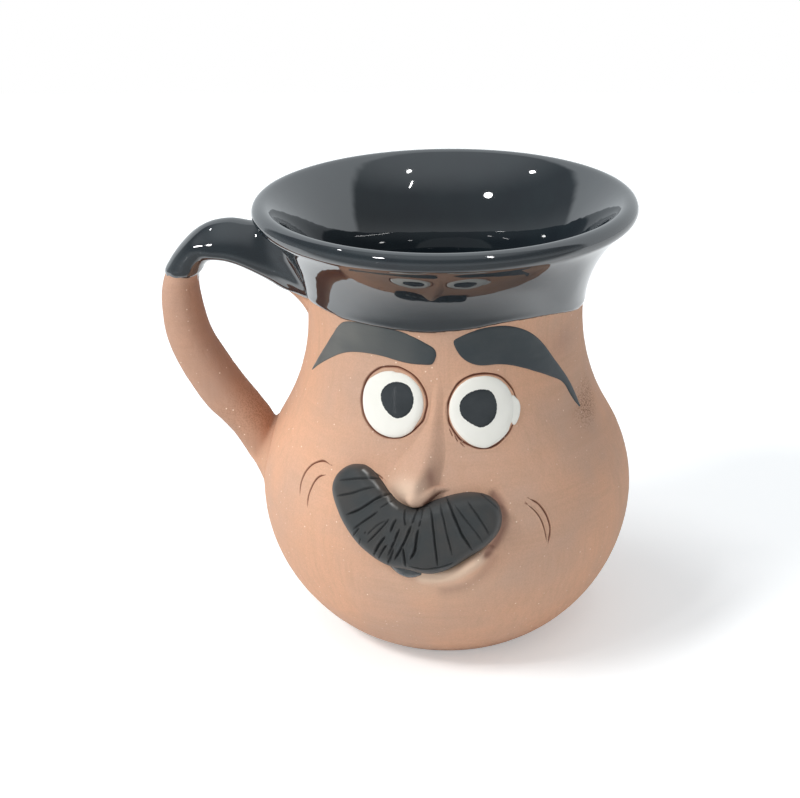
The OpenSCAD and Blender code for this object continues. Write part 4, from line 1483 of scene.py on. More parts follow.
@dataclass
class Nose:
    """The clay nose, pressed on and smoothed into the face."""

    # Height on the pot, left edge, ridge, right edge and rise of the ridge
    rows: Places = (
        (79.0, -0.9, -0.1, 0.8, 0.0), (76.0, -1.4, -0.1, 1.4, 0.16), (72.6, -1.9, -0.5, 1.6, 0.4),
        (69.2, -2.2, -0.9, 1.5, 0.68), (65.8, -3.6, -1.5, 1.7, 1.05), (62.6, -6.0, -2.0, 2.1, 1.6),
        (59.8, -8.6, -2.6, 2.2, 2.4), (57.7, -10.4, -3.2, 1.9, 3.3), (56.0, -11.6, -3.8, 1.3, 4.1),
        (54.5, -12.2, -4.4, 0.8, 4.8), (53.2, -12.3, -4.8, 0.3, 5.1),
        (51.8, -11.4, -4.9, -0.2, 4.9), (50.5, -10.0, -4.7, -1.2, 3.8),
        (49.6, -8.6, -4.5, -2.4, 2.2), (48.9, -7.6, -4.3, -3.2, 0.0))
    # The clay that fills the fold between the ridge and the wing
    blend: float = 0.9
    # The wing curls to the right: places with its half width and rise
    wing: Places = (
        (-5.2, 51.0, 2.0, 4.7), (-4.0, 51.2, 1.9, 4.3), (-3.0, 51.6, 1.65, 3.8),
        (-2.0, 52.1, 1.4, 3.1), (-1.0, 52.65, 1.1, 2.3), (0.4, 53.05, 0.8, 1.4),
        (1.7, 53.1, 0.55, 0.7), (3.0, 52.8, 0.4, 0.0))
    outline: Places = (
        (-0.2, 79.6), (-1.3, 78.0), (-1.8, 74.5), (-2.15, 71.0), (-2.3, 69.0), (-2.9, 67.0),
        (-4.6, 65.2), (-7.2, 62.4), (-9.4, 59.9), (-11.4, 57.4), (-12.8, 55.2), (-12.9, 53.4),
        (-11.5, 51.4), (-9.4, 49.6), (-7.2, 48.5), (-4.6, 48.2), (-3.0, 48.8), (-1.2, 50.0),
        (0.6, 51.0), (2.4, 51.7), (3.8, 52.4), (3.5, 53.3), (2.6, 54.4), (2.2, 56.0),
        (2.4, 58.0), (2.7, 60.0), (2.6, 63.0), (2.2, 66.0), (2.0, 70.0), (2.0, 73.5),
        (1.8, 76.5), (0.9, 79.0))
    # Painted shade under the wing
    shade: Places = ((-2.7, 50.0), (-1.6, 50.9), (-0.4, 51.7), (0.5, 52.1))

    def height(self, x: Array, z: Array) -> Array:
        """Rise of the nose over the pot, in millimetres.

        Args:
            x: Places along the surface from the face's middle.
            z: Their heights.

        Returns:
            One rise for each place.
        """
        rows = curve_through(self.rows, 10)[::-1]
        left, ridge, right, rise = (np.interp(z, rows[:, 0], rows[:, k]) for k in (1, 2, 3, 4))
        on_left = x < ridge
        far = np.where(on_left, ridge - left, right - ridge)
        s = np.clip(1 - abs(x - ridge) / np.maximum(far, 0.1), 0, 1)
        smooth = 0.5 - 0.5 * np.cos(math.pi * s)
        main = rise * np.where(on_left, 0.85 * smooth + 0.15 * s ** 1.6, smooth)
        path = curve_through(self.wing, 12)
        gap = np.column_stack([x, z])[:, None, :] - path[None, :, :2]
        away = np.sqrt((gap ** 2).sum(axis=2))
        at = (away / path[None, :, 2]).argmin(axis=1)
        share = away[np.arange(len(x)), at] / path[at, 2]
        curl = path[at, 3] * np.sqrt(np.maximum(0, 1 - np.clip(share, 0, 1) ** 2))
        # Where only the wing rises, the fill would lift its edge off the pot
        union = soft_union(main, curl, self.blend) - self.blend / 4 * (main < 0.3)
        return np.where(curl > 0, union, main)

    def make(self, pot: ClayPot) -> Object:
        """Builds the nose on the uneven wall of the pot.

        Args:
            pot: The pot that carries it.

        Returns:
            The nose.
        """
        def lift(x: Array, z: Array, away: Array) -> Array:
            """Height over the pot's curve."""
            return pot.surface(x, z) - 0.06 + self.height(x, z) * smoothstep(0, 0.5, away)

        def marks(x: Array, z: Array) -> dict[str, Array]:
            """The pot's own marks, and painted shade under the wing."""
            # Painted shade under the wing, in the groove colour
            return {**pot.marks(x, z), "cut": 0.8 * faded(x, z, self.shade, 0.4, 0.2)}

        return patch("clay_nose", curve_through(self.outline, 6, closed=True), lift, 0.28, 0.8,
                     marks)


@dataclass
class Moustache:
    """The bean of dark clay under the nose, combed with a knife."""

    thick: float = 4.5
    edge: float = 3.6
    outline: Places = (
        (-19.6, 56.1), (-17.7, 56.3), (-15.9, 55.8), (-14.5, 55.0), (-13.3, 54.0),
        (-12.2, 52.9), (-11.2, 51.8), (-10.1, 50.9), (-8.9, 50.1), (-7.4, 49.5), (-6.1, 49.2),
        (-4.7, 49.2), (-3.6, 49.5), (-2.4, 50.1), (-0.9, 50.8), (0.7, 51.3), (2.5, 51.8),
        (4.6, 52.2), (6.8, 52.4), (9.0, 52.2), (11.1, 51.6), (12.8, 50.6), (14.0, 49.3),
        (14.6, 47.8), (14.8, 46.2), (14.5, 44.5), (13.6, 42.9), (12.2, 41.4), (10.5, 40.1),
        (8.7, 39.0), (7.0, 38.0), (5.1, 36.8), (2.9, 35.5), (0.6, 34.6), (-1.6, 34.2),
        (-3.7, 34.3), (-5.7, 34.8), (-7.6, 35.1), (-9.6, 35.2), (-11.7, 35.7), (-13.8, 36.6),
        (-15.8, 37.7), (-17.7, 39.0), (-19.5, 40.6), (-21.2, 42.4), (-22.6, 44.2),
        (-23.7, 46.0), (-24.6, 47.6), (-25.2, 49.0), (-25.4, 50.3), (-25.1, 51.8),
        (-24.1, 53.4), (-22.6, 54.7), (-21.1, 55.6))
    # Shares of the strokes' width and depth that the fired slip leaves open
    open_width: float = 0.88
    open_depth: float = 0.75
    # Knife strokes: half width, depth and places
    combed: tuple[tuple[float, float, Places], ...] = (
        (0.42, 0.55, ((-21.9, 52.1), (-17.8, 53.1), (-15.5, 53.6), (-13.0, 54.1))),
        (0.42, 0.55, ((-22.3, 49.2), (-18.8, 50.3), (-15.9, 51.5), (-13.2, 52.4))),
        (0.45, 0.75, ((-19.9, 46.0), (-17.1, 47.4), (-14.5, 49.1), (-12.3, 50.6),
                      (-9.8, 51.9))),
        (0.40, 0.60, ((-18.1, 43.5), (-15.9, 45.3), (-14.0, 46.7), (-12.3, 48.0))),
        (0.30, 0.35, ((-12.1, 48.5), (-10.9, 49.4), (-9.6, 50.3))),
        (0.38, 0.55, ((-18.3, 42.0), (-16.6, 44.1))),
        (0.30, 0.35, ((-14.9, 42.9), (-12.7, 45.1), (-10.7, 46.4))),
        (0.40, 0.60, ((-14.9, 41.2), (-12.3, 44.0), (-10.5, 46.1), (-9.8, 47.1))),
        (0.35, 0.45, ((-16.9, 40.5), (-16.2, 42.1))),
        (0.52, 0.85, ((-13.5, 38.6), (-12.3, 41.0), (-10.7, 43.3))),
        (0.42, 0.65, ((-12.5, 38.0), (-11.2, 40.4), (-10.3, 41.6))),
        (0.42, 0.70, ((-9.7, 44.1), (-9.0, 45.8), (-8.3, 47.0))),
        (0.45, 0.75, ((-10.3, 39.0), (-9.2, 41.4), (-8.3, 43.6), (-7.6, 45.2))),
        (0.45, 0.70, ((-10.4, 37.2), (-9.4, 39.7), (-9.0, 40.9))),
        (0.46, 0.90, ((-8.9, 38.3), (-7.3, 41.2), (-6.0, 43.9), (-5.2, 46.1))),
        (0.36, 0.60, ((-5.0, 46.2), (-4.4, 48.4), (-4.1, 49.3))),
        (0.42, 0.80, ((-6.5, 37.0), (-6.7, 39.3), (-7.0, 41.4))),
        (0.36, 0.60, ((-6.9, 49.0), (-6.7, 47.1), (-6.3, 45.6))),
        (0.50, 0.95, ((-5.5, 38.8), (-4.5, 40.7), (-4.2, 42.6), (-3.9, 44.5), (-3.6, 45.5))),
        (0.36, 0.55, ((-3.6, 45.7), (-3.2, 47.2))),
        (0.40, 0.75, ((-1.7, 50.0), (-0.9, 47.9), (-0.7, 46.2), (-0.5, 44.9), (-0.3, 42.8),
                      (0.0, 40.5), (0.3, 37.3))),
        (0.34, 0.55, ((0.6, 51.0), (1.1, 48.8), (1.6, 47.1), (2.1, 44.9), (2.7, 42.6),
                      (3.4, 39.8))),
        (0.45, 0.85, ((1.7, 52.0), (2.8, 50.0), (3.6, 48.1), (4.5, 46.2), (5.3, 44.4),
                      (6.4, 42.7), (7.6, 40.7))),
        (0.34, 0.40, ((3.6, 50.3), (5.9, 47.4), (7.6, 45.4), (8.9, 43.7), (9.8, 42.2))),
        (0.36, 0.50, ((6.2, 50.9), (8.0, 48.6), (9.3, 46.8), (10.6, 44.7), (11.2, 43.6))),
        (0.32, 0.35, ((9.0, 52.3), (10.9, 50.6), (12.2, 49.5), (13.7, 48.1))),
        (0.32, 0.35, ((-3.0, 49.4), (-3.2, 47.0))),
        (0.34, 0.50, ((-13.6, 38.9), (-13.0, 39.6))),
        (0.34, 0.60, ((-11.6, 39.9), (-10.6, 41.4))),
        (0.34, 0.60, ((-8.7, 42.8), (-8.0, 44.6))),
        (0.34, 0.60, ((-9.5, 41.2), (-8.8, 42.5))),
        (0.36, 0.65, ((-9.9, 37.8), (-9.3, 39.6), (-8.9, 41.0))),
        (0.30, 0.40, ((-15.4, 43.2), (-15.0, 43.6))),
        (0.30, 0.35, ((-4.6, 42.0), (-3.9, 41.8))),
        (0.30, 0.45, ((-6.4, 37.5), (-4.5, 37.1), (-2.4, 36.9), (-0.3, 37.2), (1.8, 37.7),
                      (4.2, 38.7))))

    # A low bead along its upper edge, with a painted highlight on it
    sheen_edge: Places = ((-16.6, 55.1), (-15.7, 54.6), (-14.9, 53.7), (-13.9, 53.2),
                      (-12.8, 52.2), (-12.1, 51.7), (-11.8, 51.0), (-10.9, 50.7),
                      (-10.3, 49.9), (-9.5, 49.4), (-8.6, 48.9))

    def sheen_bead(self, x: Array, z: Array) -> Array:
        """How much of the raised bead and its painted highlight lies at each place, from 0 to 1."""
        return faded(x, z, self.sheen_edge, 0.2, 0.2) * np.clip(
            0.7 + 0.9 * wander_flat(x, z, 1.3, 33.0), 0, 1)

    def height(self, x: Array, z: Array, away: Array) -> Array:
        """Height of the bean over the pot.

        Args:
            x: Places along the surface from the face's middle.
            z: Their heights.
            away: Their distances to the outline.

        Returns:
            One height for each place.
        """
        lump = 0.16 * wander_flat(x, z, 4.5, 31.0)
        return (-0.1 + (self.thick + lump) * rounded(away, self.edge)
                + 0.2 * self.sheen_bead(x, z) * (away > 0))

    def make(self, finish: Material) -> Object:
        """Builds the moustache and combs it.

        Args:
            finish: The dark slip.

        Returns:
            The moustache.
        """
        loop = curve_through(self.outline, 8, closed=True)
        # The pale colour along the bead is a painted highlight
        piece = patch("combed_moustache", loop, self.height, 0.2, 0.7,
                      lambda x, z: {"worn": 0.9 * self.sheen_bead(x, z)},
                      (0.04, 0.12, 0.24, 0.42, 0.65, 0.9))

        def over(x: Array, z: Array) -> Array:
            """Height of the bean where a stroke runs."""
            place = np.column_stack([x, z])
            return self.height(x, z, nearest(place, evenly(loop, FINE, closed=True)))

        rows = [Stroke(places, wide * self.open_width, deep * self.open_depth, taper=0.8).line(0.12)
                for wide, deep, places in self.combed]
        return press(piece, rows, over, 0.22, finish)


@dataclass
class Mouth:
    """The lower lip and the sliver of dark glaze above it."""

    sliver: Places = ((-11.6, 35.6), (-11.0, 34.5), (-9.9, 33.4), (-8.7, 32.6), (-7.3, 32.1),
                      (-5.6, 32.1), (-4.4, 32.6), (-3.5, 33.4), (-3.9, 35.0), (-7.4, 36.2),
                      (-9.8, 36.3))
    # Places along the crest of the lip with its rise and how far it runs out below
    crest: Places = ((-5.2, 32.9, 0.0, 2.5), (-4.0, 32.9, 0.35, 3.2), (-2.2, 33.1, 1.0, 4.2),
                     (0.6, 33.6, 1.9, 5.4), (3.2, 34.5, 2.7, 6.0), (5.6, 35.8, 3.4, 6.0),
                     (7.7, 37.2, 3.6, 5.4), (9.4, 38.2, 3.0, 4.6), (11.0, 38.6, 1.7, 3.4),
                     (12.2, 38.3, 0.5, 2.4), (12.9, 37.9, 0.0, 1.8))
    # How far it runs out above its crest, and its middle
    above: float = 1.7
    middle: tuple[float, float] = (4.6, 34.2)

    def lip_height(self, x: Array, z: Array) -> Array:
        """Rise of the lip over the pot.

        Args:
            x: Places along the surface from the face's middle.
            z: Their heights.

        Returns:
            One rise for each place.
        """
        path = evenly(curve_through(self.crest, 10), 0.15)
        way = np.gradient(path[:, :2], axis=0)
        gap = np.column_stack([x, z])[:, None, :] - path[None, :, :2]
        side = way[None, :, 0] * gap[:, :, 1] - way[None, :, 1] * gap[:, :, 0]
        far = np.sqrt((gap ** 2).sum(axis=2))
        size = np.maximum(1e-6, far * np.linalg.norm(way, axis=1)[None, :])
        under = smoothstep(0.5, -0.6, side / size)
        gently = smoothstep(0.95, 0.3, side / size)
        reach = self.above + (path[None, :, 3] - self.above) * under
        share = np.clip(far / reach, 0, 1)
        steep = np.sqrt(np.maximum(0, 1 - share ** 2))
        gentle = 0.5 + 0.5 * np.cos(math.pi * share)
        return (path[None, :, 2] * (steep + (gentle - steep) * gently)).max(axis=1)

    def lip_outline(self) -> Array:
        """Finds an outline round all of the lip by looking outward from its middle.

        Returns:
            Places on the opened-out face.
        """
        turn = np.linspace(0, 2 * math.pi, 96, endpoint=False)[:, None]
        reach = np.linspace(0, 16, 129)[None, :]
        mid_x, mid_z = self.middle
        x, z = mid_x + reach * np.cos(turn), mid_z + reach * np.sin(turn)
        high = self.lip_height(x.ravel(), z.ravel()).reshape(x.shape) > 0.01
        far = np.where(high, reach, 0).max(axis=1)
        far = np.maximum.reduce([np.roll(far, k) for k in range(-3, 4)]) + 0.5
        far = sum(np.roll(far, k) for k in range(-2, 3)) / 5
        return evenly(np.column_stack([mid_x + far * np.cos(turn[:, 0]),
                                       mid_z + far * np.sin(turn[:, 0])]), 0.5, closed=True)

    def make_lip(self, pot: ClayPot) -> Object:
        """Builds the lower lip.

        Args:
            pot: The pot that carries it.

        Returns:
            The lip.
        """
        def lift(x: Array, z: Array, away: Array) -> Array:
            """Height over the pot's curve."""
            return pot.surface(x, z) - 0.06 + self.lip_height(x, z) * smoothstep(0, 0.6, away)

        return patch("clay_lower_lip", self.lip_outline(), lift, 0.4, 0.8, pot.marks)

    def make_sliver(self) -> Object:
        """Builds the dark sliver of the mouth.

        Returns:
            The sliver.
        """
        def lift(x: Array, z: Array, away: Array) -> Array:
            """Height over the pot's curve."""
            return -0.08 + 1.1 * rounded(away, 1.6) + 0.1 * wander_flat(x, z, 1.6, 41.0)

        return patch("mouth_glaze", curve_through(self.sliver, 6, closed=True), lift, 0.22, 0.5)


@dataclass
class Brows:
    """The two brows, painted in thick slip."""

    thick: float = 0.34
    left: Places = (
        (-39.5, 70.8), (-36.3, 74.4), (-32.5, 78.4), (-28.6, 82.9), (-26.0, 86.0),
        (-23.4, 87.8), (-19.6, 88.5), (-14.1, 88.6), (-9.1, 88.1), (-5.8, 87.0), (-3.0, 85.6),
        (-1.0, 84.3), (-0.4, 82.9), (-0.7, 81.4), (-1.6, 80.2), (-4.0, 80.1), (-6.9, 80.2),
        (-9.8, 80.6), (-12.8, 81.1), (-16.0, 81.2), (-19.4, 80.9), (-22.9, 80.1),
        (-26.4, 78.6), (-31.0, 76.0), (-35.0, 73.6))
    right: Places = (
        (3.4, 85.9), (4.9, 87.1), (7.2, 88.1), (9.9, 88.8), (12.7, 89.0), (15.7, 88.7),
        (18.9, 87.6), (22.0, 85.8), (24.8, 83.4), (27.0, 81.0), (29.8, 77.5), (32.9, 74.0),
        (35.8, 70.7), (38.3, 67.2), (40.6, 63.0), (38.2, 64.9), (36.2, 67.2), (34.3, 69.7),
        (32.4, 71.3), (28.9, 73.2), (24.9, 75.2), (20.7, 77.1), (16.9, 78.6), (13.8, 79.3),
        (11.3, 79.4), (9.4, 79.6), (7.5, 80.2), (5.6, 81.5), (4.2, 83.4))

    def make(self, pot: ClayPot, name: str, places: Places) -> Object:
        """Paints one brow.

        Args:
            pot: The pot that carries it.
            name: Name of the piece.
            places: Its outline.

        Returns:
            The brow.
        """
        def lift(x: Array, z: Array, away: Array) -> Array:
            """Height over the pot's curve, with the marks of the brush."""
            brushed = 0.05 * wander_flat(x, z * 3, 3.0, 51.0)
            return pot.surface(x, z) - 0.05 + (self.thick + brushed) * rounded(away, 0.7)

        def marks(x: Array, z: Array) -> dict[str, Array]:
            """A painted sheen that lightens the slip towards the left."""
            # Painted sheen, stronger towards the left
            left_sheen = smoothstep(4, -22, x) * (0.75 + 0.35 * wander_flat(x, z, 5.0, 53.0))
            return {"worn": np.clip(left_sheen, 0, 1)}

        return patch(name, curve_through(places, 6, closed=True), lift, 0.4, 0.4, marks, FINE_RINGS)


@dataclass
class Eyes:
    """The white spots of the eyes, the dark ones on them and the white that ran over."""

    # Edge of a white, how much its middle stands over that, and half of its width
    thick: float = 0.55
    dome: float = 0.55
    half: float = 8.0
    left_white: Places = (
        (-11.0, 78.0), (-10.0, 77.8), (-8.6, 77.8), (-7.4, 77.4), (-6.0, 76.6), (-4.8, 75.4),
        (-4.1, 74.2), (-3.6, 72.8), (-3.4, 71.3), (-3.5, 69.6), (-4.0, 68.0), (-4.9, 66.5),
        (-6.0, 64.9), (-7.3, 63.9), (-8.8, 63.2), (-10.4, 62.9), (-12.0, 62.9), (-13.9, 63.3),
        (-15.7, 64.2), (-17.2, 65.6), (-18.2, 67.3), (-18.6, 69.4), (-18.5, 71.4),
        (-18.0, 73.2), (-16.9, 75.0), (-15.2, 76.4), (-13.2, 77.5))
    right_white: Places = (
        (11.0, 77.1), (12.9, 76.5), (14.6, 75.5), (16.1, 73.9), (17.2, 71.9), (17.8, 69.9),
        (17.9, 68.1), (17.7, 66.4), (17.0, 65.1), (16.3, 63.6), (14.7, 62.3), (12.9, 61.4),
        (11.1, 60.9), (9.2, 61.2), (7.3, 62.0), (5.6, 63.3), (4.2, 64.8), (3.1, 66.5),
        (2.5, 68.3), (2.4, 70.1), (2.7, 71.9), (3.5, 73.7), (4.6, 75.2), (6.0, 76.3),
        (7.6, 77.0), (9.4, 77.2))
    # The right white ran over its ring
    spill: Places = (
        (17.6, 71.6), (18.5, 70.8), (19.2, 70.0), (19.6, 68.7), (19.5, 67.2), (19.0, 65.8),
        (18.1, 64.8), (17.3, 65.4), (16.6, 67.0), (16.4, 68.8), (16.7, 70.6))
    left_iris: Places = (
        (-9.7, 75.8), (-8.0, 75.7), (-6.6, 75.0), (-5.8, 73.5), (-5.5, 72.0), (-5.8, 70.2),
        (-6.6, 68.8), (-7.8, 67.8), (-9.2, 67.3), (-10.4, 67.5), (-11.7, 68.4), (-12.7, 69.6),
        (-13.3, 71.1), (-13.3, 72.6), (-12.6, 74.0), (-11.4, 75.1))
    right_iris: Places = (
        (10.0, 74.2), (11.6, 73.7), (12.6, 72.5), (13.2, 70.8), (13.3, 69.1), (12.9, 67.5),
        (11.9, 66.3), (10.6, 65.6), (9.3, 65.5), (8.0, 66.1), (6.6, 67.0), (5.4, 68.1),
        (4.8, 69.4), (4.7, 70.9), (5.2, 72.2), (6.3, 73.3), (7.5, 73.9), (8.8, 74.2))

    def white_height(self, loop: Array, x: Array, z: Array) -> Array:
        """Height of a white over the clay.

        Args:
            loop: The white's outline.
            x: Places along the surface from the face's middle.
            z: Their heights.

        Returns:
            One height for each place.
        """
        place = np.column_stack([x, z])
        away = nearest(place, evenly(loop, FINE, closed=True))
        out = np.linalg.norm(place - loop.mean(axis=0), axis=1) / self.half
        return (-0.07 + self.thick * rounded(away, 0.9) + self.dome * np.clip(1 - out ** 2, 0, 1)
                * smoothstep(0, 1.5, away))

    def make_white(self, name: str, places: Places) -> Object:
        """Builds the white of one eye.

        Args:
            name: Name of the piece.
            places: Its outline.

        Returns:
            The white.
        """
        loop = curve_through(places, 8, closed=True)

        def lift(x: Array, z: Array, away: Array) -> Array:
            """Height over the clay, with the outline just under it."""
            return np.where(away <= 0, -0.12, self.white_height(loop, x, z))

        return patch(name, loop, lift, 0.3, 0.5, rings=FINE_RINGS)

    def make_spill(self) -> Object:
        """Builds the white that ran over the right eye's ring.

        Returns:
            The run.
        """
        def lift(x: Array, z: Array, away: Array) -> Array:
            """Height over the clay, with the outline just under it."""
            return np.where(away <= 0, -0.12, -0.05 + 0.42 * rounded(away, 0.6))

        return patch("eye_white_run", curve_through(self.spill, 8, closed=True), lift, 0.25, 0.4,
                     rings=FINE_RINGS[:-1])

    def make_iris(self, name: str, places: Places, white: Places) -> Object:
        """Builds the dark spot of one eye on its white.

        Args:
            name: Name of the piece.
            places: Its outline.
            white: Outline of the white under it.

        Returns:
            The spot.
        """
        under = curve_through(white, 8, closed=True)

        def lift(x: Array, z: Array, away: Array) -> Array:
            """Height over the clay."""
            return self.white_height(under, x, z) - 0.04 + 0.2 * rounded(away, 1.2)

        return patch(name, curve_through(places, 8, closed=True), lift, 0.22, 0.0, rings=FINE_RINGS)


@dataclass
class Studio:
    """A white table, soft lamps and the camera of the photograph."""

    # Camera's place in millimetres, its turn round +Z, its tilt down and its roll in degrees
    turn: float = 4.5
    tilt: float = 23.4775
    roll: float = -1.144
    aim_x: float = -11.476
    aim_z: float = 57.452
    distance: float = 400.0
    lens: float = 71.617
    sensor: float = 36.0
    # Strength of the room on the clay, and of its parts as the glaze mirrors them
    room_light: float = 0.58
    ceiling: float = 0.6
    room_dark: float = 0.2
    room_low: float = 0.5
    near_shade: float = 0.75
    # Name, direction, distance, size, power and whether the glaze mirrors it: two broad lamps
    # that light the mug, and small ones that leave glints in the glaze
    lamps: tuple[tuple, ...] = (
        ("key", (-0.80, -0.45, 0.88), 1.3, (0.34, 0.34), 8.3, False),
        ("overhead", (-0.30, 0.05, 1.0), 1.15, (0.4, 0.4), 3.4, False),
        ("bulb", (-0.46, -0.48, 0.75), 1.3, (0.13, 0.10), 1.3, True),
        ("spot", (-0.52, 0.12, 0.84), 1.3, (0.07, 0.04), 0.25, True),
        ("tube", (0.27, -0.18, 0.94), 1.3, (0.05, 0.07), 0.3, True),
        ("tube_end", (0.33, -0.38, 0.86), 1.3, (0.02, 0.18), 0.35, True),
        ("window", (-0.565, -0.825, 0.02), 1.5, (0.04, 0.03), 0.015, True))

    def camera(self) -> None:
        """Sets up the camera."""
        tilt, roll = math.radians(self.tilt), math.radians(self.roll)
        ahead = Vector((0, math.cos(tilt), -math.sin(tilt)))
        above = Vector((0, math.sin(tilt), math.cos(tilt)))
        aside = Vector((1, 0, 0))
        right = aside * math.cos(roll) + above * math.sin(roll)
        up = above * math.cos(roll) - aside * math.sin(roll)
        place = Vector((self.aim_x, 0, self.aim_z)) - ahead * self.distance
        spin = Matrix.Rotation(math.radians(self.turn), 3, "Z")
        right, up, ahead, place = (spin @ v for v in (right, up, ahead, place))
        data = bpy.data.cameras.new("Photograph")
        data.sensor_fit = "HORIZONTAL"
        data.sensor_width = self.sensor
        data.lens = self.lens
        data.clip_start, data.clip_end = 0.01, 20
        camera = put("Photograph", data)
        pose = Matrix((right, up, -ahead)).transposed().to_4x4()
        pose.translation = place * MM
        camera.matrix_world = pose
        bpy.context.scene.camera = camera

    def lamp(self, name: str, way: tuple[float, float, float], away: float,
             size: tuple[float, float], power: float, mirrored: bool) -> None:
        """Adds an oval lamp that points at the mug.

        Args:
            name: Name of the lamp.
            way: Direction from the mug to the lamp.
            away: Its distance in metres.
            size: Its width and height in metres.
            power: Its power in watts.
            mirrored: Whether the glaze mirrors it.
        """
        data = bpy.data.lights.new(name, "AREA")
        data.shape = "ELLIPSE"
        data.size, data.size_y = size
        data.energy = power
        lamp = put(name, data)
        aim = Vector((0, 0, 0.06))
        lamp.location = aim + Vector(way).normalized() * away
        lamp.rotation_euler = (aim - lamp.location).to_track_quat("-Z", "Y").to_euler()
        lamp.visible_camera = False
        lamp.visible_glossy = mirrored

    def table(self) -> None:
        """Adds a white table top that keeps the mug's shadow."""
        half = 0.6
        mesh = bpy.data.meshes.new("white_table")
        mesh.from_pydata([(-half, -half, 0), (half, -half, 0), (half, half, 0), (-half, half, 0)],
                         [], [(0, 1, 2, 3)])
        table = put("white_table", mesh)
        material = bpy.data.materials.new("White paper")
        tree = cleared(material)
        paper = add(tree, "ShaderNodeBsdfDiffuse", values={"Color": to_linear("#F0F3F4")})
        glow = add(tree, "ShaderNodeEmission", values={"Color": (1, 1, 1, 1), "Strength": 0.32})
        rays = add(tree, "ShaderNodeLightPath").outputs
        seen = add(tree, "ShaderNodeMath", LARGER, {
            0: rays["Is Camera Ray"], 1: rays["Is Glossy Ray"]})
        seen = add(tree, "ShaderNodeMath", LARGER, {0: seen, 1: rays["Is Transmission Ray"]})
        both = add(tree, "ShaderNodeAddShader", values={0: paper, 1: glow})
        mixed = add(tree, "ShaderNodeMixShader", values={0: seen, 1: paper, 2: both})
        # Whoever takes the photograph shades the near side of the table as the glaze mirrors it
        place = add(tree, "ShaderNodeSeparateXYZ", values={
            0: add(tree, "ShaderNodeNewGeometry").outputs["Position"]})
        near = add(tree, "ShaderNodeMapRange", SMOOTHLY, {
            "Value": place.outputs["Y"], 1: -0.11, 2: -0.01, 3: self.near_shade, 4: 0.0})
        shaded = add(tree, "ShaderNodeMath", TIMES, {0: near, 1: rays["Is Glossy Ray"]})
        dark = add(tree, "ShaderNodeBsdfDiffuse", values={"Color": to_linear("#202020")})
        mixed = add(tree, "ShaderNodeMixShader", values={0: shaded, 1: mixed, 2: dark})
        add(tree, "ShaderNodeOutputMaterial", values={"Surface": mixed})
        mesh.materials.append(material)

    def surroundings(self) -> None:
        """Sets a plain room: a white backdrop, and dimmer behind the camera in the glaze."""
        world = bpy.data.worlds.new("Soft room")
        bpy.context.scene.world = world
        tree = cleared(world)
        rays = add(tree, "ShaderNodeLightPath").outputs
        seen = add(tree, "ShaderNodeMath", LARGER, {
            0: rays["Is Camera Ray"], 1: rays["Is Transmission Ray"]})
        way = add(tree, "ShaderNodeSeparateXYZ", values={
            0: add(tree, "ShaderNodeNewGeometry").outputs["Position"]}).outputs
        low = add(tree, "ShaderNodeMapRange", SMOOTHLY, {
            "Value": way["Z"], 1: 0.0, 2: 0.5, 3: self.room_low, 4: self.room_dark})
        high = add(tree, "ShaderNodeMapRange", SMOOTHLY, {
            "Value": way["Z"], 1: 0.7, 2: 1.0, 3: self.room_dark, 4: self.ceiling})
        dim = add(tree, "ShaderNodeMath", LARGER, {0: low, 1: high})
        # The white backdrop stands behind the mug, and its edge shows in the glaze
        along = add(tree, "ShaderNodeMath", {"operation": "MULTIPLY_ADD"}, {
            0: way["X"], 1: 0.3, 2: way["Y"]})
        backdrop = add(tree, "ShaderNodeMapRange", SMOOTHLY, {
            "Value": along, 1: 0.24, 2: 0.36, 3: dim, 4: 1.0})
        room = add(tree, "ShaderNodeBackground", values={
            "Color": to_linear("#E8ECF0"), "Strength": self.room_light})
        mirrored = add(tree, "ShaderNodeBackground", values={
            "Color": to_linear("#F0F6FA"), "Strength": backdrop})
        white = add(tree, "ShaderNodeBackground", values={"Color": (1, 1, 1, 1), "Strength": 1.0})
        lit = add(tree, "ShaderNodeMixShader", values={
            0: rays["Is Glossy Ray"], 1: room, 2: mirrored})
        mixed = add(tree, "ShaderNodeMixShader", values={0: seen, 1: lit, 2: white})
        add(tree, "ShaderNodeOutputWorld", values={"Surface": mixed})

    def build(self) -> None:
        """Sets up the camera, the table and the lamps."""
        self.camera()
        self.table()
        self.surroundings()
        for lamp in self.lamps:
            self.lamp(*lamp)
        bpy.context.scene.view_settings.view_transform = "Standard"


def dress_mug() -> None:
    """Builds each part of the mug in order."""
    finish = Finishes()
    pot, coat, handle, mouth, brows, eyes = (
        ClayPot(), GlazeCoat(), StrapHandle(), Mouth(), Brows(), Eyes())
    dress(pot.make(finish.clay), finish.clay, "clay", "body")
    dress(coat.make(finish.glaze), finish.glaze, "black_glaze", "glaze_lining", "glaze_collar")
    dress(handle.make(), finish.clay, "clay", "handle", "handle_top_luting", "handle_foot_luting")
    dress(handle.make_glaze(coat), finish.glaze, "black_glaze", "glaze_handle")
    dress(Nose().make(pot), finish.clay, "clay", "nose")
    dress(Moustache().make(finish.slip), finish.slip, "dark_slip", "moustache")
    dress(mouth.make_lip(pot), finish.clay, "clay", "lower_lip")
    dress(mouth.make_sliver(), finish.wrinkled, "iris_glaze", "mouth")
    for side, places in (("left", brows.left), ("right", brows.right)):
        dress(brows.make(pot, f"painted_brow_{side}", places), finish.brow, "dark_slip",
              f"brow_{side}")
    for side, places in (("left", eyes.left_white), ("right", eyes.right_white)):
        dress(eyes.make_white(f"white_spot_{side}", places), finish.white, "white_glaze",
              f"eye_white_{side}")
    dress(eyes.make_spill(), finish.white, "white_glaze", "eye_white_right")
    for side, places, white in (("left", eyes.left_iris, eyes.left_white),
                                ("right", eyes.right_iris, eyes.right_white)):
        dress(eyes.make_iris(f"dark_spot_{side}", places, white), finish.iris, "iris_glaze",
              f"iris_{side}")


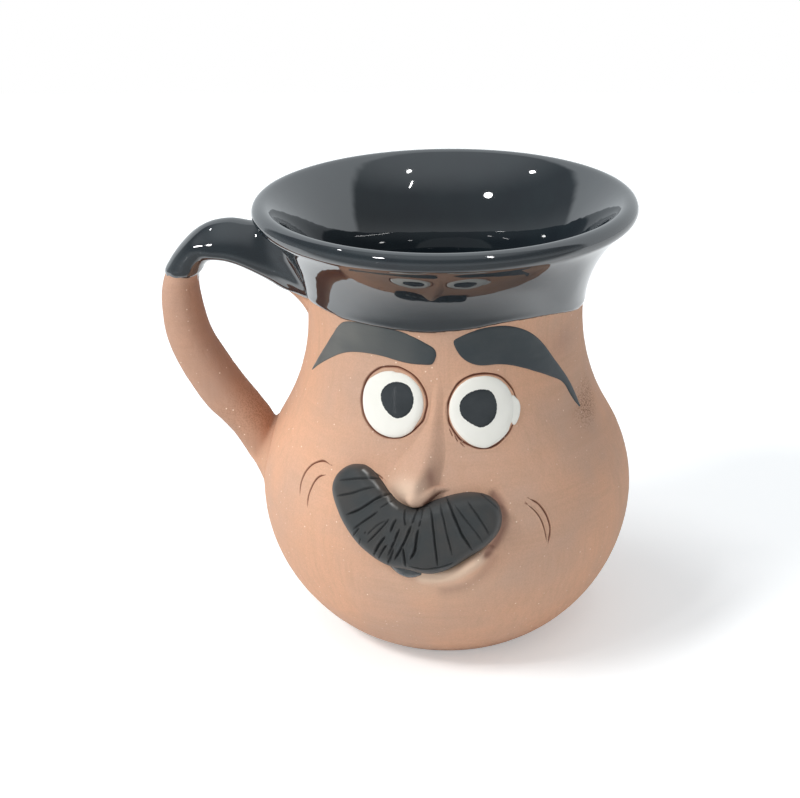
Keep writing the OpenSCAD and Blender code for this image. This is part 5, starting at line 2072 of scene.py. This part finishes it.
def main() -> None:
    """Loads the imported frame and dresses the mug."""
    logging.basicConfig(level=logging.INFO, format="%(name)s: %(message)s")
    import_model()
    Studio().build()
    dress_mug()
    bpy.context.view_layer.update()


if __name__ == "__main__":
    main()
